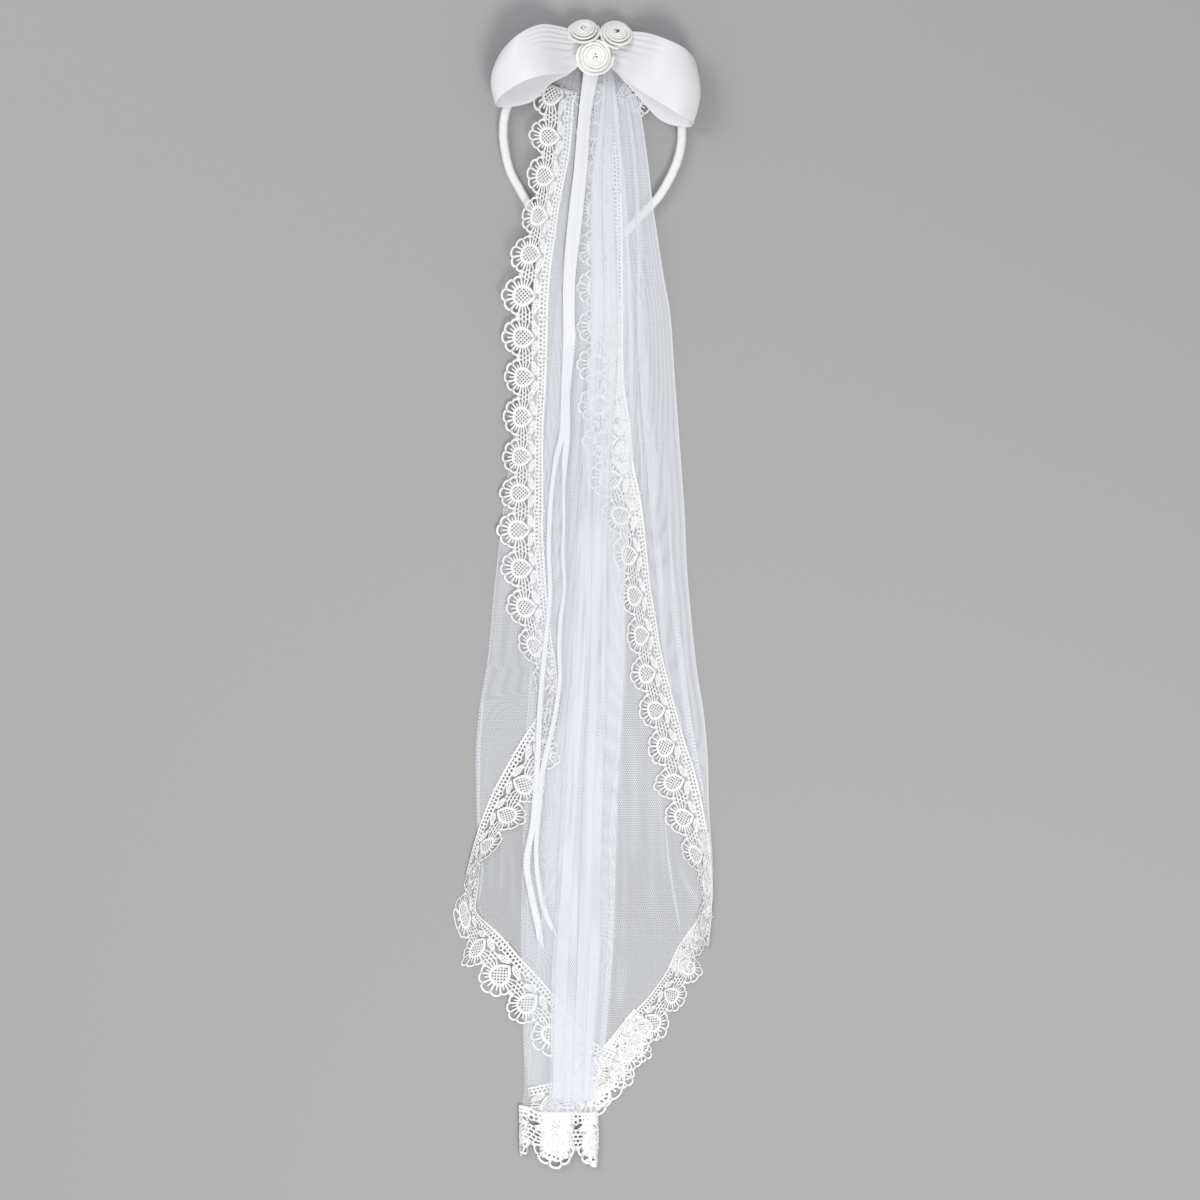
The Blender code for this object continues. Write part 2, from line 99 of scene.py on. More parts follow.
def smoothLine(points, count):
    # evenly spaced points on a smooth line through the given ones
    points = np.asarray(points, float)
    ends = np.vstack([2 * points[0] - points[1], points, 2 * points[-1] - points[-2]])
    t = np.linspace(0, 1, 12, endpoint=False)[:, None]
    spans = []
    for a, b, c, d in zip(ends, ends[1:], ends[2:], ends[3:]):
        cubic = (3 * (b - c) + d - a) * t**3 + (2 * a - 5 * b + 4 * c - d) * t**2
        spans.append(0.5 * (cubic + (c - a) * t + 2 * b))
    dense = np.vstack([*spans, points[-1:]])
    run = runOf(dense)
    return pointsAt(np.linspace(0, run[-1], count), run, dense)


def runOf(line):
    # distance along a line at each of its points
    return np.concatenate([[0], np.cumsum(np.linalg.norm(np.diff(line, axis=0), axis=1))])


def pointsAt(at, run, line):
    return np.column_stack([np.interp(at, run, axis) for axis in line.T])


def crossing(line, heights):
    # x where a smooth line crosses the given y values
    dense = smoothLine(line, 400)
    order = np.argsort(dense[:, 1])
    return np.interp(heights, dense[order, 1], dense[order, 0])


def pleatLine(at):
    # one line down the middle pleat, from its table
    return [(row[at], row[0]) for row in middlePleat]


def pleatAt(at, y):
    return crossing(pleatLine(at), y)


def leftOf(line):
    # level unit direction to the left of a line's run
    along = np.gradient(line[:, :2], axis=0)
    along /= np.linalg.norm(along, axis=1)[:, None]
    return np.column_stack([-along[:, 1], along[:, 0]])


def bell(away, wide):
    return np.exp(-((away / wide) ** 2))


def circle(count):
    return np.linspace(0, math.tau, count, endpoint=False)


def squared(wave, power):
    # a sine or cosine pressed towards a square wave
    return np.sign(wave) * np.abs(wave) ** power


# heights of the stacked layers
stack = {
    "layer": 1.3,
    "middle": 0.5,  # from a layer's underside to its net
    "over": 8.3,  # over the headband's ends
    "climb": (165, 246),
    "fall": (286, 366),
    "gatherRise": 0.5,
    "stripEnd": (-140, -75),
    "laceClimb": (-60, -48),
}


def lift(y):
    climb = stack["over"] * ease(y, *stack["climb"])
    return climb - (stack["over"] - stack["gatherRise"]) * ease(y, *stack["fall"])


def layer(level):
    return lambda x, y: lift(y) + level * stack["layer"] + stack["middle"]


def onPleat(x, y):
    return layer(2)(x, y) + stack["layer"] * ease(y, *stack["stripEnd"])


def onHem(x, y):
    return layer(0)(x, y) + stack["layer"] * ease(x, *stack["laceClimb"])


def waves(along, across, seed, count=5, low=0.6, high=2.4):
    # slow uneven swells over a surface, from -1 to 1
    random = np.random.default_rng(seed)
    total = 0
    for _ in range(count):
        turns = random.uniform(low, high, 2)
        start = random.uniform(0, math.tau, 2)
        total = total + np.sin(turns[0] * along + start[0]) * np.sin(turns[1] * across + start[1])
    return total / count


# the two streamers, which pass under the middle pleat below the gather
ribbonCut = {
    "wide": 6.5, "thick": 0.4, "rows": 190, "columns": 31,
    "under": (150, 215), "over": (-249, -240), "lift": 1.1,
    "foldRise": 0.5, "belly": 0.3, "sunk": 0.25, "outRise": 1.35,
}
outerStreamer = [  # middle of what shows, and how wide it shows
    (3.6, 369, 6.5), (4.0, 364, 6.5), (0.9, 337, 6.4), (-2.3, 299, 6.3), (-6.7, 261, 6.3), (-9.9, 223, 6.2),
    (-10.2, 192, 6.0), (-10.3, 178, 5.8), (-11.9, 141, 5.6), (-13.6, 114, 4.6), (-17.9, 96, 3.7),
    (-21.2, 73, 3.2), (-22.7, 51, 3.4), (-23.3, 29, 3.1), (-22.3, 6, 3.1), (-23.5, -16, 3.5),
    (-25.8, -36, 3.2), (-29, -74, 3.6), (-31, -113, 4.0), (-34, -158, 4.2), (-38, -180, 4.5),
    (-38, -197, 4.8), (-31, -230, 5.0), (-29, -245, 5.2),
]
innerStreamer = [
    (9.2, 369, 6.5), (8.4, 364, 6.5), (3.4, 337, 6.4), (0.8, 299, 6.2), (-3.0, 261, 6.2), (-7.4, 223, 6.0),
    (-7.9, 192, 6.0), (-7.5, 178, 6.0), (-10.8, 141, 5.4), (-10.6, 114, 5.0), (-11.8, 96, 4.4),
    (-12.9, 73, 2.4), (-12.7, 51, 2.3), (-13.5, 29, 2.4), (-12.3, 6, 2.4), (-14.8, -16, 3.0),
    (-16, -36, 2.8), (-15.5, -60, 3.0), (-20, -90, 3.4), (-27, -120, 3.8), (-30, -150, 3.6),
    (-32, -184, 3.4), (-27, -218, 3.8), (-16, -243, 4.8),
]


def ribbonBulge(x, y):
    # how far the ribbons lift the net that lies over them
    total = 0
    for lines in (outerStreamer, innerStreamer):
        middle = np.interp(y, *np.array(lines[::-1]).T[[1, 0]])
        total = total + np.exp(-(((x - middle) / (ribbonCut["wide"] / 2 - 0.05)) ** 4))
    shown = between(y, *ribbonCut["over"], *ribbonCut["under"])
    return ribbonCut["lift"] * np.clip(total, 0, 1) * shown


# meshes
def linked(name, data):
    made = bpy.data.objects.new(name, data)
    bpy.context.scene.collection.objects.link(made)
    return made


def placed(points):
    # from the tables' millimetres to the frame
    return (np.asarray(points, float) - (*centre, 0)) * mm


def dressed(name, mesh, finish, *nodes):
    # a finished piece on the veil's one body, in place of its solids
    mesh.materials.append(finish.material)
    piece = linked(name, mesh)
    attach(piece, "root")
    if nodes[0]:
        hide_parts(*nodes)
    return piece


def meshPiece(name, arrays, finish, *nodes, **values):
    # a smooth-shaded piece from its corners, four-sided faces and millimetres over the cloth
    points, quads, uv = arrays
    mesh = bpy.data.meshes.new(name)
    quads = np.asarray(quads, np.int32)
    mesh.vertices.add(len(points))
    mesh.vertices.foreach_set("co", placed(points).ravel())
    mesh.loops.add(quads.size)
    mesh.loops.foreach_set("vertex_index", quads.ravel())
    mesh.polygons.add(len(quads))
    mesh.polygons.foreach_set("loop_start", np.arange(0, quads.size, 4, dtype=np.int32))
    mesh.update(calc_edges=True)
    flat = mesh.uv_layers.new(name="UVMap")
    flat.data.foreach_set("uv", np.asarray(uv, np.float32)[quads.ravel()].ravel())
    for key, per in values.items():
        held = mesh.attributes.new(key, "FLOAT", "POINT")
        held.data.foreach_set("value", np.asarray(per, np.float32).ravel())
    mesh.shade_smooth()
    return dressed(name, mesh, finish, *nodes)


def gridQuads(rows, columns):
    at = np.arange(rows * columns).reshape(rows, columns)
    return np.stack([at[:-1, :-1], at[1:, :-1], at[1:, 1:], at[:-1, 1:]], -1).reshape(-1, 4)


def gridNormals(grid):
    down = np.gradient(grid, axis=0)
    across = np.gradient(grid, axis=1)
    normal = np.cross(down, across)
    return normal / np.maximum(np.linalg.norm(normal, axis=2, keepdims=True), 1e-9)


def gridUv(grid):
    # millimetres across and along the middle of a grid
    across = runOf(grid[len(grid) // 2])
    along = runOf(grid[:, grid.shape[1] // 2])
    return np.dstack(np.meshgrid(across, along)).reshape(-1, 2)


def shellArrays(grid, thick, roundness=8):
    # a closed wall round a grid, with its long edges rounded like a folded edge
    rows, columns = grid.shape[:2]
    across = np.linspace(-1, 1, columns)
    half = thick / 2 * np.sqrt(np.clip(1 - np.abs(across) ** roundness, 0.02, 1))[None, :, None]
    normal = gridNormals(grid)
    points = np.concatenate([grid + normal * half, grid - normal * half]).reshape(-1, 3)
    top = np.arange(rows * columns).reshape(rows, columns)
    low = top + rows * columns
    quads = [gridQuads(rows, columns), gridQuads(rows, columns)[:, ::-1] + rows * columns]
    sides = (top[:, 0], low[:, 0]), (low[:, -1], top[:, -1]), (low[0], top[0]), (top[-1], low[-1])
    for first, second in sides:
        quads.append(np.stack([first[:-1], second[:-1], second[1:], first[1:]], -1))
    uv = gridUv(grid)
    return points, np.concatenate(quads), np.concatenate([uv, uv])


def joined(parts):
    # several (points, quads, uv) made one
    points, quads, uv = zip(*parts)
    starts = np.cumsum([0, *map(len, points)])
    quads = [np.asarray(faces) + start for faces, start in zip(quads, starts)]
    return tuple(np.concatenate(held) for held in (points, quads, uv))


# finishes
def sumOf(operation, turned=False):
    def made(held, other):
        return held.finish.sum(operation, *((other, held) if turned else (held, other)))
    return made


class Thread:
    # a socket of a finish, so that its sums read as plain sums
    def __init__(self, finish, socket):
        self.finish = finish
        self.socket = socket

    __add__ = __radd__ = sumOf("ADD")
    __mul__ = __rmul__ = sumOf("MULTIPLY")
    __sub__ = sumOf("SUBTRACT")
    __rsub__ = sumOf("SUBTRACT", True)
    __truediv__ = sumOf("DIVIDE")
    __rpow__ = sumOf("POWER", True)


class Finish:
    # a material for one kind of cloth or trim
    def __init__(self, name, slot=None, **plain):
        self.slot = slot
        self.material = bpy.data.materials.new(name)
        self.material.use_nodes = True
        self.tree = self.material.node_tree
        self.shader = self.tree.nodes["Principled BSDF"]
        self.feed(**plain)

    def node(self, kind, sockets=(), out=0, stops=(), **settings):
        made = self.tree.nodes.new("ShaderNode" + kind)
        for key, value in settings.items():
            setattr(made, key, value)
        if stops:
            ramp = made.color_ramp
            while len(ramp.elements) < len(stops):
                ramp.elements.new(0.5)
            for element, (place, colour) in zip(ramp.elements, stops):
                element.position = place
                element.color = (*colour, 1)
        for key, value in dict(sockets).items():
            self.join(made.inputs[key], value)
        return Thread(self, made.outputs[out])

    def join(self, socket, value):
        if isinstance(value, Thread):
            self.tree.links.new(value.socket, socket)
        else:
            socket.default_value = value

    def feed(self, **sockets):
        # values or links of the main shader, named as on its sockets
        for key, value in sockets.items():
            if isinstance(value, tuple) and len(value) == 3:
                value = (*value, 1)
            self.join(self.shader.inputs[key.replace("_", " ")], value)

    def sum(self, operation, *values):
        return self.node("Math", enumerate(values), operation=operation)

    def vector(self, operation, *values):
        out = int(operation == "DOT_PRODUCT")
        return self.node("VectorMath", enumerate(values), out, operation=operation)

    def mixed(self, factor, first, second, kind="RGBA"):
        made = self.tree.nodes.new("ShaderNodeMix")
        made.data_type = kind
        if kind == "RGBA":
            first, second = (*first, 1), (*second, 1)
        live = [s for s in made.inputs if s.enabled]
        for socket, value in zip((live[0], live[-2], live[-1]), (factor, first, second)):
            self.join(socket, value)
        return Thread(self, next(s for s in made.outputs if s.enabled))

    def flat(self):
        # millimetres across and along the cloth
        return self.parts(self.node("UVMap", uv_map="UVMap"))

    def parts(self, vector):
        across = self.node("SeparateXYZ", {0: vector})
        return across, Thread(self, across.socket.node.outputs[1])

    def together(self, across, along):
        return self.node("CombineXYZ", {0: across, 1: along})

    def noise(self, across, along, detail=2.0, roughness=0.5):
        sockets = {"Scale": 1.0, "Detail": detail, "Roughness": roughness}
        return self.node("TexNoise", {"Vector": self.together(across, along), **sockets})

    def bump(self, height, depth, strength):
        return self.node("Bump", {"Strength": strength, "Distance": depth, "Height": height})


tulleLook = {
    # the net's cold white, set darker than its own colour to stand in for the shade its plies would cast on
    # one another: partly painted shade
    "colour": (0.72, 0.735, 0.775),
    "cell": 1.45,  # across one hole of the mesh
    "cover": 0.23,  # share of one ply that is thread
    "soft": 0.07,
    "streaks": 0.6,
    "streak": (0.42, 0.012),  # turns a millimetre across and along
    "fine": (1.5, 0.03),
}


def tulleFinish():
    look = tulleLook
    made = Finish("tulleNet", "tulle", Base_Color=look["colour"], Roughness=0.62, Sheen_Weight=0.25)
    across, along = made.flat()
    streak = made.noise(across * look["streak"][0], along * look["streak"][1], 3.0, 0.6)
    fine = made.noise(across * look["fine"][0], along * look["fine"][1])
    uneven = 1 + ((streak - 0.5) * 1.2 + (fine - 0.5) * 0.6) * look["streaks"]
    plies = made.node("Attribute", out=2, attribute_name="plies") * uneven
    half = 0.5 * (1 - (1 - look["cover"]) ** (plies * 0.5))
    # the nearer middle of a six-sided hole, of two that lie on crossing grids
    spot = made.together(across / look["cell"], along / look["cell"])
    tall = math.sqrt(3)
    shift = (0.5, tall / 2, 0.0)
    cells = []
    for moved in (spot, made.vector("ADD", spot, shift)):
        cells.append(made.vector("SUBTRACT", made.vector("MODULO", moved, (1.0, tall, 1.0)), shift))
    away = [made.vector("DOT_PRODUCT", cell, cell) for cell in cells]
    nearer = made.sum("LESS_THAN", *away)
    cellAcross, cellAlong = made.parts(made.vector("ABSOLUTE", made.mixed(nearer, *cells[::-1], "VECTOR")))
    slant = cellAcross * 0.5 + cellAlong * (tall / 2)
    edge = 0.5 - made.sum("MAXIMUM", slant, cellAcross)
    shown = {"Value": (half - edge) / look["soft"], "From Min": -0.5, "From Max": 0.5}
    made.feed(Alpha=made.node("MapRange", shown, clamp=True), Normal=made.bump(fine, 0.00008, 0.4))
    return made


def laceFinish():
    made = Finish("guipureThread", "lace", Roughness=0.72, Sheen_Weight=0.3)
    across, along = made.flat()
    stitch = made.sum("SINE", across * 15.0)
    fuzz = made.noise(across * 1.4, along * 3.0, 3.0)
    tone = made.mixed(fuzz, (0.975, 0.97, 0.952), (1.0, 0.998, 0.988))
    made.feed(Base_Color=tone, Normal=made.bump(stitch * 0.5 + fuzz * 0.8, 0.00012, 0.8))
    return made


def satinFinish(name, slot, shade, light, gloss):
    made = Finish(name, slot, Sheen_Weight=0.15, Specular_IOR_Level=0.55)
    across, along = made.flat()
    floats = made.noise(across * 9.0, along * 0.35)
    cloud = made.noise(across * 0.05, along * 0.05)
    tone = made.mixed(made.node("Clamp", {"Value": floats * 0.7 + cloud * 0.3}), shade, light)
    made.feed(Base_Color=tone, Roughness=gloss + (floats - 0.5) * 0.16)
    made.feed(Normal=made.bump(floats, 0.00005, 0.55))
    return made


def stoneFinish():
    # a metal-like stone: each facet gets a random dark, brown or white tone as painted reflections, and the
    # brightest facets glow as painted glints
    made = Finish("cutStone", "stone", Roughness=0.04, Metallic=0.9, Coat_Weight=1.0, Emission_Strength=0.7)
    facet = made.node("Attribute", out=2, attribute_name="facet")
    stops = [
        (0.0, (0.01, 0.01, 0.015)), (0.42, (0.06, 0.06, 0.08)), (0.46, (0.5, 0.3, 0.12)),
        (0.56, (0.6, 0.64, 0.75)), (0.74, (0.97, 0.98, 1.0)), (1.0, (1.0, 1.0, 1.0)),
    ]
    # painted glints: the brightest facets glow by emission, though the stone is no lamp
    paintedGlint = [(0.0, (0, 0, 0)), (0.7, (0, 0, 0)), (0.76, (0.95, 0.97, 1.0)), (1.0, (1, 1, 1))]
    made.feed(Base_Color=made.node("ValToRGB", {0: facet}, stops=stops))
    made.feed(Emission_Color=made.node("ValToRGB", {0: facet}, stops=paintedGlint))
    return made


def floorFinish():
    made = Finish("paleFloor", Roughness=0.85)
    where = made.node("TexCoord", out=3)
    grain = made.node("TexNoise", {"Vector": where, "Scale": 900.0, "Detail": 3.0, "Roughness": 0.5})
    made.feed(Base_Color=made.mixed(grain, (0.365, 0.362, 0.363), (0.385, 0.382, 0.383)))
    return made


tulle = tulleFinish()
lace = laceFinish()
bandSatin = satinFinish("bandSatin", "band_satin", (0.78, 0.78, 0.79), (0.88, 0.88, 0.88), 0.4)
bowSatin = satinFinish("bowSatin", "bow_satin", (0.75, 0.745, 0.77), (0.83, 0.825, 0.845), 0.42)
roseSatin = satinFinish("rosetteSatin", "rosette_satin", (0.9, 0.89, 0.85), (0.96, 0.955, 0.93), 0.5)
ribbonSatin = satinFinish("streamerSatin", "streamer_satin", (0.75, 0.75, 0.78), (0.84, 0.84, 0.86), 0.4)
stoneGlass = stoneFinish()
print("finishes made")


# the net, one stretch of cloth between two fold or seam lines at a time
netCloth = {
    "rowStep": 4.0,
    "columnStep": 1.7,
    "columns": (6, 90),  # fewest and most between two folds
    "ply": 0.3,  # rise from one folded ply to the next
    "plyFall": (0.3, 3.2),
    "edgeBoost": 4.2,  # plies more at a folded edge
    "edgeFade": 0.45,  # share of that on the next threads
    "nearEdge": ((0.35, 0.12), (0.9, 0.28)),  # first columns beside a fold, and their share at most
    "foldWhole": 1.6,  # width from which a fold counts in full
    "foldGone": 0.25,  # half the width left where a fold has opened out
    "gatherTop": 372,
    "gatherFade": 60,
    "gatherPower": 1.6,
    "ridges": (0.6, 1.5, 4),  # least and most of the gathers' count, and how many waves make them
    "lively": 0.18,
    "creaseEnds": (12, 25),
    "topFade": (26, 0.85),  # height of the thinner top edge, and how much thinner
    # plies of flat cloth in each millimetre that shows, as (y, plies)
    "fullness": [
        (376, 4.0), (350, 3.0), (310, 2.2), (270, 1.85), (200, 1.65), (100, 1.4), (0, 1.15), (-100, 1.0),
        (-400, 1.0),
    ],
}


def foldLines(rows, left, right, folds):
    # across the cloth: its left side, both edges of each fold, its right side, and how folded each is
    leftEdge, rightEdge = crossing(left, rows), crossing(right, rows)
    knots, shares = [leftEdge], [np.ones_like(rows)]
    for fold in folds:
        at, lefts, rights = np.array(sorted(fold), float).T
        inside = (rows >= at[0]) & (rows <= at[-1])
        # beyond its ends a fold opens out and keeps its place across the cloth
        ends = at[[0, -1]]
        start, end = crossing(left, ends), crossing(right, ends)
        place = np.interp(rows, ends, ((lefts + rights)[[0, -1]] / 2 - start) / (end - start))
        middle = leftEdge + np.clip(place, 0.02, 0.98) * (rightEdge - leftEdge)
        bandLeft = np.where(inside, np.interp(rows, at, lefts), middle + netCloth["foldGone"])
        bandRight = np.where(inside, np.interp(rows, at, rights), middle - netCloth["foldGone"])
        knots += [bandRight, bandLeft]
        shares += [ease(bandRight - bandLeft, 0, netCloth["foldWhole"])] * 2
    return knots + [rightEdge], shares + [shares[0]]


def netStrips(knots, shares):
    # columns from each fold line to the next: x, rise over the lowest ply, and how near a folded edge
    strips = []
    for at, (start, end) in enumerate(zip(knots, knots[1:])):
        span = np.abs(end - start)
        count = int(np.clip(np.ceil(span.max() / netCloth["columnStep"]), *netCloth["columns"]))
        close, near = (np.minimum(gap, share * span) / np.maximum(span, 1e-6)
                       for gap, share in netCloth["nearEdge"])
        inner = near + (1 - 2 * near) * np.linspace(0, 1, count - 3)
        x = start + (end - start) * np.hstack([0 * span, close, inner, 1 - close])
        fade = netCloth["edgeFade"]
        boost = np.hstack([shares[at], fade * shares[at], 0 * inner, fade * shares[at + 1]])
        ply = netCloth["ply"] * shares[at]
        z = 0 * x
        if at % 2 == 1:
            z += ply
            z[:, 0] *= 0.5
        elif at > 0:
            z += 2 * ply * (1 - ease(x - knots[at - 1], *netCloth["plyFall"]))
            z[:, 0] *= 0.75
        strips.append((x, z, boost))
    strips.append((knots[-1], z[:, -1:], shares[-1]))
    return [np.hstack(held) for held in zip(*strips)]


def netStretch(name, node, left, right, high, low, height, folds, creases, gathers, seed, more):
    # folds are (y, left, right) bands where the cloth doubles back on itself
    rows = np.append(np.arange(high, low + 1, -netCloth["rowStep"]), low)[:, None]
    x, z, boost = netStrips(*foldLines(rows, left, right, folds))
    widest = np.argmax(np.abs(np.diff(x, axis=1)).sum(axis=1))
    flat = np.concatenate([[0], np.cumsum(np.abs(np.diff(x[widest])))])
    y = rows + 0 * x
    u = flat / flat[-1]
    random = np.random.default_rng(seed)
    often, tall, fall = gathers
    ridge = 0
    for turns in often * random.uniform(*netCloth["ridges"]):
        ridge = ridge + np.sin(math.tau * (turns * u + random.uniform()))
    ridge = ridge / netCloth["ridges"][-1]
    near = ease(y, fall - netCloth["gatherFade"], netCloth["gatherTop"]) ** netCloth["gatherPower"]
    lively = netCloth["lively"] * (1 - near)
    z = z + tall * near * (ridge + 0.6) + lively * waves(y / 60, u * 9, seed)
    cover = np.interp(y, *np.array(netCloth["fullness"][::-1]).T) * (1 + 0.5 * near * ridge)
    for line, wide, rise, denser in creases:
        at, middle = np.array(sorted(line), float).T
        first, last = netCloth["creaseEnds"]
        shown = between(y, at[0], at[0] + first, at[-1] - last, at[-1])
        hump = bell(x - np.interp(y, at, middle), wide) * shown
        z = z + rise * hump
        cover = cover + denser * hump
    cover = cover + more(x, y) + netCloth["edgeBoost"] * boost
    deep, thinner = netCloth["topFade"]
    cover = cover * (1 - thinner * ease(y, high - deep, high))
    points = np.dstack([x, y, height(x, y) + z]).reshape(-1, 3)
    uv = np.dstack([flat + 20 + 0 * x, 400 - y]).reshape(-1, 2)
    return meshPiece(name, (points, gridQuads(*x.shape), uv), tulle, node, plies=cover)


denseGathers = {
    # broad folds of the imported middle, as shares of its width, from the left
    "folds": [(0.0, 0.5), (0.1, 0.36), (0.5, 0.74), (0.7, 1.0), (0.8, 0.96)],
    "wander": 0.03,
    # plies more than in the flat net, across its width
    "extra": [
        (0, 2.4), (0.1, 1.6), (0.34, 1.5), (0.38, 2.9), (0.48, 3.0), (0.54, 3.0), (0.68, 2.8), (0.74, 2.2),
        (0.8, 1.2), (0.95, 1.4), (1, 2.0),
    ],
    # the same to its left (0 to 1) and right (2 to 3) sides, as rows of y and plies at these places
    "places": [0, 0.3, 0.6, 0.93, 2.07, 3],
    "beside": [
        (376, 0, 0, 0, 0, 0, 0), (280, 0.5, 0.5, 2.5, 3.5, 1, 1), (160, 0.5, 1, 3, 4, 1.5, 1.5),
        (90, 0.8, 1.2, 2.2, 4.5, 4.5, 4), (20, 0.8, 1.2, 2.5, 4.5, 6, 5.5),
        (-60, 1.5, 1.2, 2.2, 6, 5.5, 5.5), (-120, 1.2, 1.5, 3.5, 6, 4.2, 3),
        (-200, 2.5, 1.2, 2.5, 4.5, 3.5, 2), (-265, 1.8, 2, 2.5, 1.5, 3, 3),
        (-330, 2, 2.2, 2.5, 0.5, 1.5, 2), (-363, 1, 1, 1, 0, 1, 1),
    ],
    "high": 1.0,
    "left": (-1.5, 2.5),  # from the line at each side of them, where they rise and fall
    "right": (-2.5, 1),
    "mounds": 2.6,
    "flattens": (220, 322),
    "lace": (35, 65, 175, 205),  # where the front's lace lies under them
    "overLace": 0.3,  # share of them that lies over the lace
    "besideShare": 0.15,  # share of the soft folds beside them in the pleat itself
}


def denseFolds():
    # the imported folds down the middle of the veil
    rows = np.arange(376, -364, -13.0)
    low = pleatAt(2, rows)
    wide = pleatAt(3, rows) - low
    drift = denseGathers["wander"] * wide
    for at, (start, end) in enumerate(denseGathers["folds"]):
        left = low + start * wide + (drift * np.sin(rows / 95 + at * 1.9) if start else 0)
        right = low + end * wide + (drift * np.sin(rows / 70 + at * 2.6) if end < 1 else 0)
        yield list(zip(rows, left, right))


rightBand = [
    (376, 18.6, 19.8), (340, 22, 24.6), (276, 28, 30.6), (210, 32, 34.6), (160, 33, 35.6), (110, 34.2, 35.6),
    (50, 31.4, 32.6), (7, 28.2, 29.6), (-55, 27.2, 28.6), (-115, 23.4, 25.7), (-170, 18, 23.7),
    (-210, 19.6, 22.7), (-255, 17, 20.7), (-305, 13, 16.7), (-345, 9.5, 11.7), (-363, 7.5, 9.6),
]
leftPinch = [
    (-130, -17.5, -18.5), (-158, -20.2, -19.2), (-189, -24.6, -23.2), (-216, -27.3, -25.7),
    (-247, -30.7, -29.2), (-264, -32.2, -30.8), (-300, -36, -34.4), (-327, -37.4, -36), (-345, -38, -38.5),
]
turnFolds = [
    [(150, 38.9, 38.4), (124, 39, 40.2), (97, 41.2, 42.4), (76, 42, 43), (60, 43, 42.5)],
    [
        (358, 29, 31), (310, 35, 38), (276, 37.4, 40.6), (259, 37.8, 41.2), (206, 38.5, 44.2),
        (165, 39.5, 46.8), (130, 41.6, 48.8), (97, 44.9, 52.6), (68, 46.9, 54.2), (38, 50, 55),
        (10, 52.5, 56.6), (-31, 55.2, 58.9), (-52, 59, 61), (-70, 62.8, 63.9), (-100, 68, 67),
    ],
    [
        (110, 58, 57), (60, 60.2, 60.8), (38, 61.2, 62.4), (28, 61.3, 63), (-10, 62.2, 66.4),
        (-39, 65.9, 70.6), (-67, 68.9, 73.9), (-93, 71.8, 77.5), (-118, 78, 82),
        (-136, 83.7, 85), (-160, 88, 87),
    ],
]
turnCreases = [
    ([(43, 60.9), (72, 58.4), (93, 57.1), (122, 54.6), (150, 52.5)], 0.9, 0.5, 1.6),
    ([(45, 62.6), (76, 62.2), (107, 60.5), (135, 59.5)], 0.8, 0.4, 1.3),
    ([(-120, 73), (-60, 64.5), (0, 57), (40, 52)], 1.1, 0.4, 0.9),
]
backFolds = [
    [
        (-158, -72.8, -73.2), (-165, -72.6, -70.8), (-194, -70.4, -68.8), (-211, -72, -70.9),
        (-216, -72.5, -73),
    ],
    [
        (-150, 58.2, 57.2), (-164, 58, 59), (-185, 59.6, 61.2), (-211, 63.3, 65.2), (-228, 66.9, 68.4),
        (-240, 69.5, 69),
    ],
]
backCreases = [
    ([(-222, 86), (-214, 80), (-200, 72), (-180, 66)], 1.8, 0.8, 1.4),
    ([(-190, 36), (-140, 37), (-85, 35)], 2.6, 0.5, 0.8),
    ([(-250, 29), (-190, 30), (-120, 27), (-60, 26)], 1.8, 0.5, 0.7),
    ([(-292, 24.5), (-270, 25.4), (-245, 26)], 0.6, 0.4, 1.6),
    ([(-292, 26), (-270, 27.6), (-245, 28.6)], 0.6, 0.4, 1.4),
    ([(-290, 27), (-268, 29.8), (-245, 31.5)], 0.7, 0.4, 1.4),
    ([(-215, -57), (-180, -55.5), (-140, -56)], 1.6, 0.4, 0.7),
    ([(-210, -64.5), (-170, -63), (-130, -64)], 1.3, 0.3, 0.6),
    ([(-230, 48), (-180, 49.5), (-120, 50)], 2.4, 0.4, 0.6),
    ([(-200, 57), (-160, 56), (-110, 52)], 1.5, 0.4, 0.8),
    ([(-240, -47), (-200, -48), (-150, -52)], 1.2, 0.3, 0.6),
]
leftTurnFolds = [
    [(-50, -66.2, -66.8), (-75, -70.2, -68.8), (-106, -73.2, -71), (-132, -73.3, -71.3), (-160, -73, -71)],
]


def pleatHeight(x, y):
    # the dense gathers of the middle pleat stand up between its flat sides
    low, high = pleatAt(2, y), pleatAt(3, y)
    inside = ease(x - low, *denseGathers["left"]) * (1 - ease(x - high, *denseGathers["right"]))
    share = (x - low) / (high - low)
    mound = 0.6 + 0.4 * np.sin(math.tau * denseGathers["mounds"] * share + 0.8 * np.sin(y / 80))
    mound = mound * denseGathers["high"] * (1 - ease(y, *denseGathers["flattens"]))
    return onPleat(x, y) + ribbonBulge(x, y) + mound * inside


def pleatPlace(x, y):
    # 0 to 3 across the middle pleat: its left side, its dense gathers, its right side
    sides = [pleatAt(at, y) for at in (1, 2, 3, 4)]
    place = sum(np.clip((x - near) / (far - near), 0, 1) for near, far in zip(sides, sides[1:]))
    return place, between(place, 0.96, 1.04, 1.96, 2.04)


def besideCover(x, y):
    # soft folds beside the gathers
    place, inside = pleatPlace(x, y)
    at, *plies = np.array(denseGathers["beside"][::-1]).T
    cover = 0
    for only, held in zip(np.eye(len(plies)), plies):
        cover = cover + np.interp(place, denseGathers["places"], only) * np.interp(y, at, held)
    return cover * (1 - inside)


def gathersCover(x, y):
    # more plies are packed in the gathers than the broad folds show
    place, inside = pleatPlace(x, y)
    share, extra = np.array(denseGathers["extra"]).T
    return np.interp(place - 1, share, extra) * inside, between(y, *denseGathers["lace"])


def denseCover(x, y):
    extra, onLace = gathersCover(x, y)
    extra = extra * (1 - (1 - denseGathers["overLace"]) * onLace)
    return extra + denseGathers["besideShare"] * besideCover(x, y) * (1 - onLace)


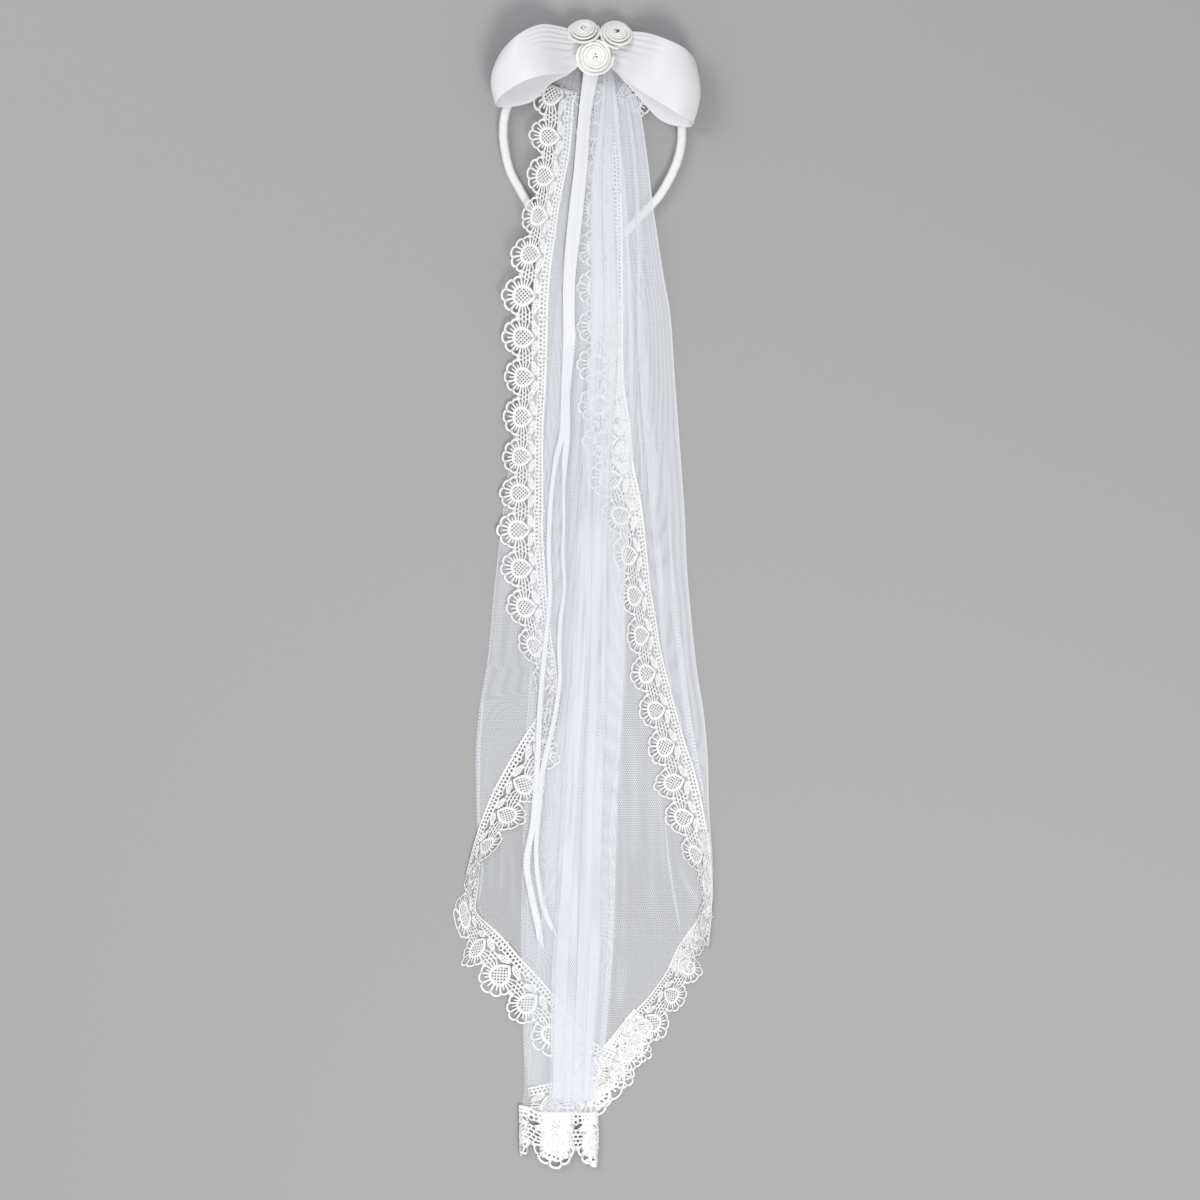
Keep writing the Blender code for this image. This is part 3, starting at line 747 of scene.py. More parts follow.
def backCover(x, y):
    # the right side of the back is gathered closer
    closer = ease(x, 5, 20) * (0.8 + 0.8 * (1 - ease(y, 60, 200)) * ease(y, -210, -120))
    within = ease(x - pleatAt(1, y), 0, 2) * (1 - ease(x - pleatAt(4, y), -1, 2))
    behindLace = gathersCover(x, y)[1] * ease(pleatPlace(x, y)[0], 0.9, 1.1)
    return closer + besideCover(x, y) * within * (1 - 0.5 * behindLace)


def turnCover(x, y):
    return 0.6 + 1.2 * (1 - ease(x - crossing(rightSeam, y), 3, 15)) * ease(y, 90, 160)


# the net runs on under the lace's sewn edge
underLeftLace = [(x - 11, y) for x, y in leftSeam]
underRightLace = [(x - 9, y) for x, y in rightSeam]
# piece, node, sides, top, bottom, height, folds, creases, gathers (count, height, end), seed, more plies
netRuns = {
    "back": (
        "tulleBack", "tulle_back", backLeft, backRight, 376, -343, layer(0),
        backFolds, backCreases, (16, 0.5, 250), 3, backCover),
    "leftTurn": (
        "tulleLeftTurn", "tulle_left_turn", leftFold, turnInner, 288, -160, layer(1),
        leftTurnFolds, (), (9, 0.4, 250), 5, lambda x, y: 0.5),
    "leftFront": (
        "tulleLeftFront", "tulle_left_front", underLeftLace, frontFold, 366, -56, layer(2),
        (), (), (5, 0.6, 230), 7, lambda x, y: 1.4 * (1 - ease(y, 325, 350))),
    "underPleat": (
        "tulleUnderPleat", "tulle_under_pleat", underLeft, underRight, -34, -252, layer(1),
        (), (), (6, 0.4, 250), 9, lambda x, y: 0),
    "rightTurn": (
        "tulleRightTurn", "tulle_right_turn", underRightLace, rightFold, 358, -182, layer(1),
        turnFolds, turnCreases, (9, 0.5, 230), 11, turnCover),
    "middle": (
        "tulleMiddlePleat", "tulle_middle_pleat", pleatLine(1), pleatLine(4), 376, -363, pleatHeight,
        [leftPinch, *denseFolds(), rightBand], (), (24, 0.8, 240), 13, denseCover),
}


nets = {key: netStretch(*run) for key, run in netRuns.items()}
# the net casts no shadow, and its darker colour stands in as painted shade between its plies
for piece in nets.values():
    piece.visible_shadow = False  # net scatters the light on to what lies under it
print("net laid:", len(nets), "stretches")


# guipure lace: one flower of the chart, repeated along each seam
laceChart = {
    "pitch": 28.4,
    "wide": 32.0,  # seam to the tip of a scallop
    "drawn": 33.3,  # the same in the chart's own units
    "flower": 17.8,
    "ring": 6.8,  # where the spokes leave the flower's ring
    "notch": 2.4,  # from a petal's tip in to the notch beside it
    "net": 2.0,
    "sides": 6,
    "squeeze": 0.1,  # how far lace past a seam's end still reaches, where it turns under
    "more": 9,  # flowers beyond the first and last named ones
    "petals": [(0, 15.4), (34, 14.9), (62, 14.1)],  # angle from the way out, and radius of the tip
    "bars": [17, 48.5, 76],
    "sideBars": [(89, 11.2), (102, 11.2), (115, 10.8)],
    "rows": [(10.6, 5.4), (13.1, 4.5), (15.6, 3.6), (18.1, 3.0), (20.4, 1.8)],  # lattice: out, half length
    "rung": 3.1,
    "leaf": ((1.4, 7.6), (12.8, 10.4)),  # stem and tip
    "square": 0.45,  # how square a cord's section is
    "flat": 0.85,
    "cords": {  # half width, half height, rise
        "loop": (0.8, 0.42), "bar": (0.78, 0.38), "tongue": (0.62, 0.44, 0.05), "sideBar": (0.62, 0.38),
        "ring": (1.15, 0.5, 0.05), "mesh": (0.5, 0.3, -0.05), "knot": (0.7, 0.42, 0.02),
        "leaf": (0.55, 0.4), "rib": (0.5, 0.36), "vein": (0.5, 0.32), "seam": (0.95, 0.42),
        "rail": (0.55, 0.36), "edge": (0.6, 0.36), "link": (0.7, 0.4), "upper": (0.68, 0.33),
        "lower": (0.72, 0.33), "eye": (0.55, 0.44, 0.05), "row": (0.66, 0.36), "rung": (0.52, 0.33),
        "side": (0.75, 0.4),
    },
}


def cord(points, kind, closed=False):
    # a flattened cord along chart points, as corners, faces and stitch coordinates
    points = np.asarray(points, float)
    halfWide, halfHigh, rise = (*laceChart["cords"][kind], 0.0)[:3]
    count, sides = len(points), laceChart["sides"]
    along = np.roll(points, -1, 0) - np.roll(points, 1, 0) if closed else np.gradient(points, axis=0)
    along /= np.maximum(np.linalg.norm(along, axis=1, keepdims=True), 1e-9)
    side = np.column_stack([-along[:, 1], along[:, 0]])
    turn = circle(sides)
    across = squared(np.cos(turn), laceChart["square"]) * halfWide
    flat = points[:, None] + side[:, None] * across[None, :, None]
    high = np.broadcast_to(rise + np.sin(turn) * halfHigh * laceChart["flat"], (count, sides))[..., None]
    corners = np.concatenate([flat, high], axis=2).reshape(-1, 3)
    ring = np.arange(count * sides).reshape(count, sides)
    ahead = np.roll(ring, -1, 0)
    quads = np.stack([ring, ahead, np.roll(ahead, -1, 1), np.roll(ring, -1, 1)], -1)
    if not closed:
        first, last = ring[0], ring[-1]
        caps = [first[[0, 1, 2, 3]], first[[0, 3, 4, 5]], last[[3, 2, 1, 0]], last[[5, 4, 3, 0]]]
        quads = np.concatenate([quads[:-1].reshape(-1, 4), caps])
    stitch = np.column_stack([np.repeat(runOf(points), sides) + 3, np.tile(turn, count) + 1])
    return corners, quads.reshape(-1, 4), stitch


def flowerPoint(angle, radius):
    turn = math.radians(angle)
    return radius * math.sin(turn), laceChart["flower"] + radius * math.cos(turn)


def spoke(angle, end, kind):
    return cord(smoothLine([flowerPoint(angle, laceChart["ring"]), flowerPoint(angle, end)], 3), kind)


def teardrop(size, count=24):
    # round towards the edge and pointed towards the seam
    half = [(0, -1.25), (0.4, -0.93), (0.72, -0.62), (0.93, -0.2), (0.97, 0.22), (0.8, 0.66), (0.42, 0.93)]
    outline = half + [(0, 1.0)] + [(-u, w) for u, w in half[::-1]]
    line = smoothLine(outline, count + 1)[:-1]
    return line * size + (0, laceChart["flower"])


def petalCords():
    # five loops, each with a tongue inside, then plain bars that run into the lattice
    petals = laceChart["petals"]
    bars = [-laceChart["bars"][0], *laceChart["bars"]]
    tips = [petals[1][1], *(tip for _, tip in petals), petals[-1][1]]
    for sign in (-1, 1):
        for at, (angle, tip) in enumerate(petals):
            if sign < 0 and angle == 0:
                continue
            inner, outer = bars[at:at + 2]
            notchIn, notchOut = ((tip + tips[near]) / 2 - laceChart["notch"] for near in (at, at + 2))
            half = (outer - inner) / 2
            arc = [
                (inner, notchIn), (angle - 0.8 * half, tip - 1.5), (angle - 0.36 * half, tip - 0.72),
                (angle + 0.36 * half, tip - 0.72), (angle + 0.8 * half, tip - 1.5), (outer, notchOut),
            ]
            yield cord(smoothLine([flowerPoint(sign * turn, out) for turn, out in arc], 12), "loop")
            yield spoke(sign * outer, notchOut + 0.2, "bar")
            if at == 0:
                yield spoke(inner, notchIn + 0.2, "bar")
            yield spoke(sign * angle, laceChart["ring"] + 0.6 * (tip - 8.2), "tongue")
        for angle, long in laceChart["sideBars"]:
            yield spoke(sign * angle, long, "sideBar")


def heartCords():
    # the flower's thick ring and the diagonal mesh inside it
    yield cord(teardrop(6.5), "ring", True)
    pitch = laceChart["net"]
    middle = np.array([0, laceChart["flower"]])
    steps = range(-2, 3)
    for sign in (-1, 1):
        for at in steps:
            half = math.sqrt(max(5.6**2 - (at * pitch) ** 2, 1))
            away = np.array([1, sign]) / math.sqrt(2) * half
            spot = middle + np.array([-sign, 1]) / math.sqrt(2) * at * pitch
            yield cord([spot - away, spot, spot + away], "mesh")
    for first in steps:
        for second in steps:
            spot = np.array([first - second, first + second]) * pitch / math.sqrt(2)
            if np.linalg.norm(spot) < 5.0:
                spot = spot + middle
                yield cord([spot + (-0.6, 0), spot + (0.6, 0)], "knot")


def leafCords():
    stem, tip = np.array(laceChart["leaf"])
    axis = tip - stem
    side = np.array([-axis[1], axis[0]]) / np.linalg.norm(axis)

    def belly(at, wide):
        # a point of the leaf's middle line, moved towards its edge
        return stem + axis * at + side * wide * np.sin(math.pi * at**0.85)

    t = np.linspace(0, 1, 8)[:, None]
    lines = [(belly(t, -1.75), "leaf"), (belly(t, 1.75), "leaf")]
    lines.append((stem + axis * np.linspace(0, 1, 4)[:, None], "rib"))
    for at in (0.25, 0.42, 0.58, 0.74):
        for wide in (-1.6, 1.6):
            lines.append((np.array([stem + axis * (at - 0.08), belly(at, wide) + axis * 0.02]), "vein"))
    for at, long in ((0.42, 1.2), (0.78, 1.3)):
        # short ties between a leaf and the ring
        foot = belly(at, 1.4)
        lines.append((np.array([foot, foot + side * long]), "vein"))
    for sign in (-1, 1):
        for line, kind in lines:
            yield cord(line * (sign, 1), kind)


def headerCords():
    # the sewn edge: a solid cord, two rows of small holes, and a ring between two flowers
    pitch = laceChart["pitch"]
    half = pitch / 2
    for inset, count, out, kind in ((0, 11, 0.75, "seam"), (0, 11, 3.3, "rail"), (1.9, 9, 6.1, "edge")):
        steps = np.linspace(inset - half, half - inset, count)
        yield cord(np.column_stack([steps, np.full(count, out)]), kind)
    yield cord([(half - 0.9, -0.35), (half + 0.9, -0.35)], "link")
    for count, low, top, kind in ((10, 1.4, 3.3, "upper"), (9, 3.3, 6.1, "lower")):
        for at in range(count):
            u = -half + (at + 0.5) * pitch / count
            yield cord([(u, low), (u, top)], kind)
    turn = circle(12)
    yield cord(np.column_stack([half + 1.5 * np.sin(turn), 5.7 + 1.5 * np.cos(turn)]), "eye", True)


def latticeCords():
    # rows beside the seam's way between two flowers, tied like brickwork
    half = laceChart["pitch"] / 2
    rows = laceChart["rows"]
    for at, (out, long) in enumerate(rows):
        yield cord([(half - long, out), (half, out), (half + long, out)], "row")
        if at + 1 == len(rows):
            break
        top, reach = rows[at + 1]
        for step in range(-2, 3):
            u = (step + 0.5 * (at % 2)) * laceChart["rung"]
            if abs(u) < (long + reach) / 2 + 0.4:
                yield cord([(half + u, out), (half + u, top)], "rung")
    end = flowerPoint(laceChart["bars"][-1], laceChart["petals"][-1][1] - laceChart["notch"])
    for sign in (-1, 1):
        edge = [(half + sign * (half - u), w) for u, w in (end, (half - 0.9, 21.7), (half + 0.2, 22.5))]
        yield cord(smoothLine(edge, 4), "side")
    yield cord([(half, 20.4), (half, 22.3)], "edge")


laceFlower = joined([*petalCords(), *heartCords(), *leafCords(), *headerCords(), *latticeCords()])
print("lace chart:", len(laceFlower[1]) * 2, "triangles a flower")


def laceArrays(seam, side, flowers, height, sink=0.0, hang=False):
    # flowers are (place along the seam, share of the full reach), eased or stretched between them
    line = smoothLine(seam, 400)
    run = runOf(line)
    calm = smoothLine(line, 60)
    steps = np.linspace(0, run[-1], len(calm))
    out = side * leftOf(calm)
    if hang:
        out[:] = (0, -1)  # straight down from a slanting seam
    corners, quads, stitch = laceFlower
    pitch, more = laceChart["pitch"], laceChart["more"]
    scale = laceChart["wide"] / laceChart["drawn"]
    places, reaches = np.array(flowers, float).T
    order = np.array([-more, *range(len(places)), len(places) - 1 + more]) * pitch
    places = np.array([places[0] - more * pitch, *places, places[-1] + more * pitch])
    reaches = np.array([reaches[0], *reaches, reaches[-1]])
    for number in range(-more, len(flowers) + more):
        drawn = number * pitch + corners[:, 0]
        at = np.interp(drawn, order, places)
        ends = np.interp([(number - 0.5) * pitch, (number + 0.5) * pitch], order, places)
        if ends[1] <= 0 or ends[0] >= run[-1]:
            continue
        over = at - np.clip(at, 0, run[-1])
        at = np.clip(at, 0, run[-1])
        spot, way = pointsAt(at, run, line), pointsAt(at, steps, out)
        way /= np.linalg.norm(way, axis=1)[:, None]
        forward = side * np.column_stack([way[:, 1], -way[:, 0]])
        shown = np.interp(drawn, order, reaches)
        plan = spot + way * (corners[:, 1] * scale * shown)[:, None]
        plan += forward * (over * laceChart["squeeze"])[:, None]
        z = height(plan[:, 0], plan[:, 1]) + corners[:, 2] - sink
        yield np.column_stack([plan, z]), quads if side > 0 else quads[:, ::-1], stitch


laceLines = {
    "leftFront": [(-3.5, 350.5), (-5.8, 343)] + leftSeam[2:] + [(-18.5, -70)],
    "leftTurn": [(-19, -62)] + turnedSeam,
    "underBow": [(22, 347), (27.5, 356), (34, 365)],
    "rightTurn": rightSeam + [(91.3, -199), (91.5, -213), (88.5, -224)],
}
laceRuns = {  # node, seam, side, height, flowers
    "laceLeftFront": ("lace_left_front", laceLines["leftFront"], -1, layer(2), [
        (3.7, 0.96), (31.7, 0.95), (61.7, 0.84), (88.7, 0.78), (115.7, 0.92), (143.7, 1.05), (172.7, 1.01),
        (200.7, 0.93), (228.7, 0.9), (255.7, 0.9), (280.7, 0.97), (306.7, 1.03), (332.7, 0.98),
        (359.7, 0.92), (386.7, 0.74), (413.7, 0.5)]),
    "laceLeftTurn": ("lace_left_turn", laceLines["leftTurn"], 1, layer(1), [
        (-13, 0.1), (15, 0.36), (44, 0.97), (73, 1.0), (99, 0.92), (125, 0.5), (150, 0.2)]),
    "laceLeftHem": ("lace_left_hem", leftHem, -1, onHem, [
        (-14, 0.02), (12, 0.27), (38, 0.52), (55, 1.08), (82, 1.1), (110, 1.08), (139, 1.05), (167, 1.0)]),
    "laceRightHem": ("lace_right_hem", rightHem, 1, layer(0), [
        (4, 0.13), (24, 0.48), (44, 0.74), (64, 0.7), (85, 0.86), (108, 0.96), (129, 0.98), (148, 1.02),
        (172, 0.95)]),
    "laceRightTurn": ("lace_right_turn", laceLines["rightTurn"], -1, layer(1), [
        (8, 0.9), (35, 0.95), (63, 1.0), (91, 1.02), (118, 1.03), (146, 1.03), (173, 1.03), (199, 1.04),
        (225, 1.08), (251, 1.1), (277, 1.05), (304, 0.92), (333, 0.74), (361, 0.7), (389, 0.7), (415, 0.8),
        (441, 0.81), (467, 0.84), (493, 0.98), (520, 0.87), (548, 0.6), (573, 0.27), (592, 0.09)]),
    "laceUnderBow": (None, laceLines["underBow"], -1, layer(-0.4), [(6, 0.8)]),
    "laceMiddleHem": ("lace_middle_hem", middleHem, -1, layer(2), [(-12, 1.1), (24.5, 1.235), (52, 1.2)]),
}
doubled = {  # where lace lies on lace: seam, flowers, how far below
    "laceMiddleHem": [
        ([(-27, -362.2), (-18, -362.2), (-9, -362.2)], [(9.8, 1.08)], 0.25),
        ([(-28, -362.4), (-18, -362.2), (-8, -362.2)], [(6.5, 1.05)], 0.5),
        ([(-26.5, -362.4), (-18, -362.2), (-9, -362.2)], [(13, 1.02)], 0.75),
        ([(0, -362.2), (5, -362.2), (10, -362.2)], [(8.6, 1.17)], 0.25),
        ([(3, -362.2), (6, -362.2), (9.8, -362.2)], [(5.6, 1.14)], 0.5),
        ([(5, -362.2), (7, -362.2), (9.9, -362.2)], [(2.4, 1.1)], 0.75),
        ([(-43, -357), (-41, -357.4), (-38.6, -358)], [(2, 1.06)], 0.3),
        ([(-27.5, -362), (-18, -362), (-8.5, -362)], [(3.5, 1.0)], 0.4),
        ([(-27.5, -362), (-18, -362), (-8.5, -362)], [(16, 0.98)], 0.6),
        ([(-27, -362), (-18, -362), (-9, -362)], [(9.4, 0.86)], 0.15),
        ([(1, -362.2), (5.5, -362.2), (10, -362.2)], [(4.5, 0.95)], 0.35),
    ],
    "laceRightTurn": [
        ([(28.7, 205), (28.9, 175), (29.4, 150), (32.9, 125), (35.2, 100), (39.5, 75), (43.4, 50)],
         [(4, 0.4), (30, 0.6), (56, 0.6), (82, 0.6), (108, 0.6), (134, 0.4)], 0.3),
        ([(89.2, -166), (90.7, -188), (91, -210), (90.6, -226), (88.8, -243)],
         [(6, 0.24), (34, 0.25), (62, 0.3)], -0.25),
    ],
    "laceRightHem": [
        ([(86, -220), (77, -233), (68, -246), (60, -261)], [(-6, 0.22), (16, 0.42), (40, 0.5)], -0.3),
        ([(36, -290), (29, -299), (17, -315), (2, -332), (-12, -339)],
         [(6, 0.8), (27, 0.86), (50, 0.95)], -0.3),
        ([(33, -294), (25, -304), (15, -316), (2, -331), (-8, -337)],
         [(12, 0.8), (33, 0.9), (55, 0.95)], -0.15),
    ],
}


def makeLace(name, node, seam, side, height, flowers):
    arrays = []
    for line, places, sink in [(seam, flowers, 0.0), *doubled.get(name, ())]:
        arrays += laceArrays(line, side, places, height, sink, name == "laceMiddleHem")
    return meshPiece(name, joined(arrays), lace, node)


laces = {name: makeLace(name, *run) for name, run in laceRuns.items()}
print("lace sewn:", sum(len(piece.data.polygons) for piece in laces.values()) * 2, "triangles")


# the bow
leftLoop = [  # upper x y z, lower x y z
    (0.4, 391, 12, 0.4, 372.6, 12), (-10, 396, 13, -8.6, 365, 15), (-28, 398.4, 25, -26, 362.6, 28),
    (-44, 391.5, 30, -41, 358, 31), (-55, 381, 25, -55.5, 349, 25), (-58, 375, 17, -60, 342.5, 17),
    (-54, 381, 11, -53, 341, 11), (-40, 390, 9, -35, 345, 9), (-26, 394, 9, -21.5, 357.6, 9),
    (-11, 393, 9, -9, 364.2, 9), (0.4, 388, 9, 0.4, 372.6, 9),
]
rightLoop = [
    (15, 390, 12, 15, 373, 12), (25, 392.5, 11, 24, 366, 14), (33, 394, 11.5, 30, 360, 20),
    (46, 392.5, 20, 39, 353, 27), (60, 387.5, 29, 53, 344, 32), (72, 381.5, 27, 68, 335, 30),
    (79, 374, 18, 77.5, 329.5, 19), (73, 378, 11, 72, 327, 11), (60, 383, 9, 55, 332, 9),
    (44, 388, 9, 38, 350, 9), (27, 389, 9, 24, 365, 9), (15, 387, 9, 15, 373, 9),
]
bowCut = {
    "stations": 130,
    "columns": 81,
    "thick": 0.7,
    "swell": 3.0,
    "endSwell": 4.5,
    "shoulders": (0.45, 2.4),  # beside a crease: depth and width, as shares of its own
    "knot": ((0.8, 373, 8.5), (14.4, 387, 16)),  # lowest and highest corner
    "pinch": (0.86, 0.035, 19),  # least share of its girth, and its folds' depth and turns
    "knotRound": 0.6,
    "knotThick": 0.6,
    "knotSteps": (40, 30),  # round the knot, and across its satin
    # creases as (place at the knot, place at its end, end along the loop, depth, width)
    "leftCreases": [
        (0.05, 0.05, 0.36, 0.8, 0.022), (0.14, 0.13, 0.38, 1.1, 0.028), (0.24, 0.22, 0.4, 1.0, 0.028),
        (0.34, 0.31, 0.36, 1.1, 0.03), (0.47, 0.45, 0.26, 1.0, 0.045), (0.62, 0.66, 0.15, 0.9, 0.05),
        (0.8, 0.86, 0.13, 0.8, 0.05),
    ],
    "rightCreases": [
        (0.07, 0.03, 0.34, 0.6, 0.026), (0.17, 0.1, 0.36, 0.7, 0.03), (0.28, 0.2, 0.38, 0.8, 0.034),
        (0.4, 0.33, 0.34, 0.7, 0.04), (0.55, 0.52, 0.2, 0.7, 0.05), (0.72, 0.74, 0.15, 0.7, 0.05),
        (0.87, 0.9, 0.12, 0.6, 0.05),
    ],
}


def bowLoop(name, node, lines, creases, seed):
    lines = np.array(lines, float)
    count, columns = bowCut["stations"], bowCut["columns"]
    upper, lower = smoothLine(lines[:, :3], count), smoothLine(lines[:, 3:], count)
    across = np.linspace(0, 1, columns)[None, :, None]
    grid = upper[:, None] * (1 - across) + lower[:, None] * across
    run = np.linspace(0, 1, count)[:, None]
    v = across[..., 0]
    swell = np.sin(math.pi * v)
    outward = np.sign(grid[count // 2, 0, 0] - grid[0, 0, 0])
    atEnd = between(run, 0.25, 0.5, 0.5, 0.75)
    front = 1 - ease(run, 0.3, 0.6)
    grid[..., 0] += outward * bowCut["endSwell"] * swell * atEnd
    grid[..., 2] += bowCut["swell"] * swell * front * ease(run, 0.1, 0.3)
    depth = np.zeros((count, columns))
    for start, end, far, deep, wide in creases:
        away = v - (start + (end - start) * run / far)
        fade = between(run, 0, 0.03, 0.45 * far, far)
        # a hollow between two low shoulders
        low, broad = bowCut["shoulders"]
        depth += deep * fade * (bell(away, wide) - low * bell(away, broad * wide))
    calm = 0.5 * waves(run * 9, v * 4, seed, 6) * ease(run, 0.02, 0.2)
    normal = gridNormals(grid)
    normal *= np.sign(normal[count // 8, columns // 2, 2])
    grid = grid - normal * (depth - calm)[..., None]
    meshPiece(name, shellArrays(grid, bowCut["thick"], 14), bowSatin, node)


def bowMiddle():
    # pinched satin wound once round the middle, with soft folds along the wrap
    low, high = np.array(bowCut["knot"])
    middle, size = (low + high) / 2, (high - low) / 2
    turn = np.linspace(0, math.tau, bowCut["knotSteps"][0])[:, None]
    across = np.linspace(-1, 1, bowCut["knotSteps"][1])[None]
    least, deep, turns = bowCut["pinch"]
    pinch = least + (1 - least) * across**2 + deep * np.sin(across * turns)
    x = middle[0] + across * size[0] * np.ones_like(turn)
    y = middle[1] + size[1] * pinch * squared(np.cos(turn), bowCut["knotRound"])
    z = middle[2] + size[2] * pinch * squared(np.sin(turn), bowCut["knotRound"])
    wrap = shellArrays(np.dstack([x, y, z]), bowCut["knotThick"])
    meshPiece("bowMiddle", wrap, bowSatin, "bow_middle")


bowLoop("bowLoopLeft", "bow_loop_left", leftLoop, bowCut["leftCreases"], 21)
bowLoop("bowLoopRight", "bow_loop_right", rightLoop, bowCut["rightCreases"], 22)
bowMiddle()
print("bow tied")


# rosettes of rolled satin, each with a cut stone in its eye
rosettes = {  # x, y, z of its back, lean to the crown, lean to the right, radius, share of height
    "lower": (8.6, 375.6, 16.4, 4.0, 3.0, 13.4, 1.0),
    "left": (1.1, 392.2, 13.6, 42.0, -2.0, 11.8, 0.74),
    "right": (24.0, 390.2, 13.9, 36.0, 8.0, 12.2, 0.74),
}
roseRoll = {
    "turns": 5.35,
    "rows": 300,
    "columns": 15,
    "thick": 0.5,
    "cupThick": 0.3,
    "high": 9.0,
    "petals": 2.4,  # in one turn
    "sharp": 0.4,  # the smaller, the narrower the gap between two petals
    "swell": (0.95, 0.06, 0.012),  # shares of a turn's radius: least, more at a petal, waver
    "dip": (0.55, 0.2),  # millimetres down at a gap, and waver
    "lag": 0.25,  # turned on at a gap
    "wall": (3.2, 6),  # depth of a turn, and how much deeper the last one is
    # the roll's edge by turns: its radius and height as shares, how far it flares, how deep it tucks
    "rim": [
        (0, 0.19, 0.92, 0.05, 0.3), (0.4, 0.23, 1.0, 0.05, 0.5), (1.3, 0.35, 1.0, 0.07, 0.8),
        (2.3, 0.5, 0.95, 0.09, 0.95), (3.3, 0.66, 0.84, 0.11, 1.1), (4.2, 0.81, 0.66, 0.13, 1.2),
        (5.0, 0.97, 0.42, 0.15, 1.3), (5.35, 1.01, 0.34, 0.15, 1.3),
    ],
    # shallow cups under the stone and under the roll: radii and heights
    "cups": [
        ([0.02, 0.05, 0.09, 0.13, 0.18], [0.8, 0.8, 0.81, 0.84, 0.9]),
        ([0.02, 0.3, 0.55, 0.66, 0.7], [0.03, 0.03, 0.05, 0.12, 0.24]),
    ],
}
stoneCut = {
    "sides": 10,
    "low": 7.75,
    "top": 9.5,
    # radius, height and share of a side's turn of each ring of corners, from the back to the table
    "rings": [(0.5, 7.75, 0), (1.9995, 8.45, 0.5), (2.15, 8.65, 0.5), (1.675, 9.17, 0), (1.2, 9.5, 0.5)],
}


def seated(points, place):
    # from a rosette's own axis to its leaning seat
    x, y, z, leanCrown, leanRight, _, tall = place
    seat = Matrix.Translation([x, y, z]) @ Matrix.Rotation(math.radians(-leanCrown), 4, "X")
    seat = np.array(seat @ Matrix.Rotation(math.radians(leanRight), 4, "Y"))
    return (points * (1, 1, tall)) @ seat[:3, :3].T + seat[:3, 3]


def rosette(side, place, seed):
    # each turn of the roll rises from under the last one, flares, and curls over its edge
    random = np.random.default_rng(seed)
    radius, high, last = place[5], roseRoll["high"], roseRoll["turns"]
    rim = np.array(roseRoll["rim"]).T
    turns = np.linspace(0, last, roseRoll["rows"])
    out, up, flare, tuck = (np.interp(turns, rim[0], row) for row in rim[1:])
    within = np.interp(turns - 1, rim[0], rim[1], 0.02)
    petal = (roseRoll["petals"] * turns + random.uniform()) % 1
    fold = np.sin(math.pi * petal) ** roseRoll["sharp"]
    least, more, waver = roseRoll["swell"]
    out = out * (least + more * fold + waver * np.sin(turns * 5 + seed))
    dip, waver = roseRoll["dip"]
    up = up * high - dip * (1 - fold) + waver * np.sin(turns * 7 + seed)
    start = np.minimum(within * 0.97, out - 0.06)
    deep, deeper = roseRoll["wall"]
    foot = np.clip(up - deep - deeper * ease(turns, last - 1.1, last - 0.9), 0.3, high)
    # the section of a turn, from its tucked inner edge over the rim and down its outer side
    section = np.array([
        (start, up - tuck), (start + 0.35 * (out - start), up - 0.55 * tuck),
        (out - 0.75 * flare * (out - start + 0.1), up - 0.1), (out - 0.02, up), (out + 0.012, up - 0.35),
        (out - 0.015, up - 0.9), (out - 0.06, (up + foot) / 2 - 0.4), (0.55 * out + 0.1, foot),
    ])
    v = np.linspace(0, 1, roseRoll["columns"])
    lines = []
    for held in (section[:, 0].T * radius, section[:, 1].T):
        line = np.array([np.interp(v, np.linspace(0, 1, len(row)), row) for row in held])
        line[:, 1:-1] = (line[:, :-2] + 2 * line[:, 1:-1] + line[:, 2:]) / 4
        lines.append(line)
    angle = math.tau * turns[:, None] + random.uniform(0, 6) + (roseRoll["lag"] * (1 - fold))[:, None]
    grid = np.dstack([lines[0] * np.cos(angle), lines[0] * np.sin(angle), lines[1]])
    parts = [shellArrays(grid, roseRoll["thick"], 10)]
    whole = np.linspace(0, math.tau, 41)[:, None]
    for cup in roseRoll["cups"]:
        out, up = np.array(cup)[:, None]
        out, up = out * radius, up * high + 0 * whole
        grid = np.dstack([out * np.cos(whole), out * np.sin(whole), up])
        parts.append(shellArrays(grid, roseRoll["cupThick"], 10))
    points, quads, uv = joined(parts)
    name = "rosette" + side.capitalize()
    meshPiece(name, (seated(points, place), quads, uv), roseSatin, f"rosette_{side}")


def stone(side, place, seed):
    # a brilliant-cut stone: flat table, two rows of facets and a short back
    random = np.random.default_rng(seed)
    sides = stoneCut["sides"]
    points = []
    for radius, z, share in stoneCut["rings"]:
        turn = circle(sides) + share * math.tau / sides
        points += zip(radius * np.cos(turn), radius * np.sin(turn), [z] * sides)
    last, back, table = len(points) - sides, len(points), len(points) + 1
    points += [(0, 0, stoneCut["low"]), (0, 0, stoneCut["top"])]
    faces = []
    for at in range(0, last, sides):
        for step in range(sides):
            a, b = at + step, at + (step + 1) % sides
            c, d = a + sides, b + sides
            faces += [(a, b, d), (a, d, c)] if c >= last else [(a, b, c), (b, d, c)]
    for step in range(sides):
        ahead = (step + 1) % sides
        faces += [(step, back, ahead), (last + step, last + ahead, table)]
    mesh = bpy.data.meshes.new("stone")
    mesh.from_pydata(placed(seated(np.array(points), place)).tolist(), [], faces)
    # a random number on each facet, which picks its painted reflection and painted glint
    held = mesh.attributes.new("facet", "FLOAT", "FACE")
    held.data.foreach_set("value", random.uniform(0, 1, len(faces)).astype(np.float32))
    dressed("stone" + side.capitalize(), mesh, stoneGlass, f"stone_{side}")


for number, (side, place) in enumerate(rosettes.items()):
    rosette(side, place, 40 + number)
    stone(side, place, 50 + number)
print("rosettes rolled")


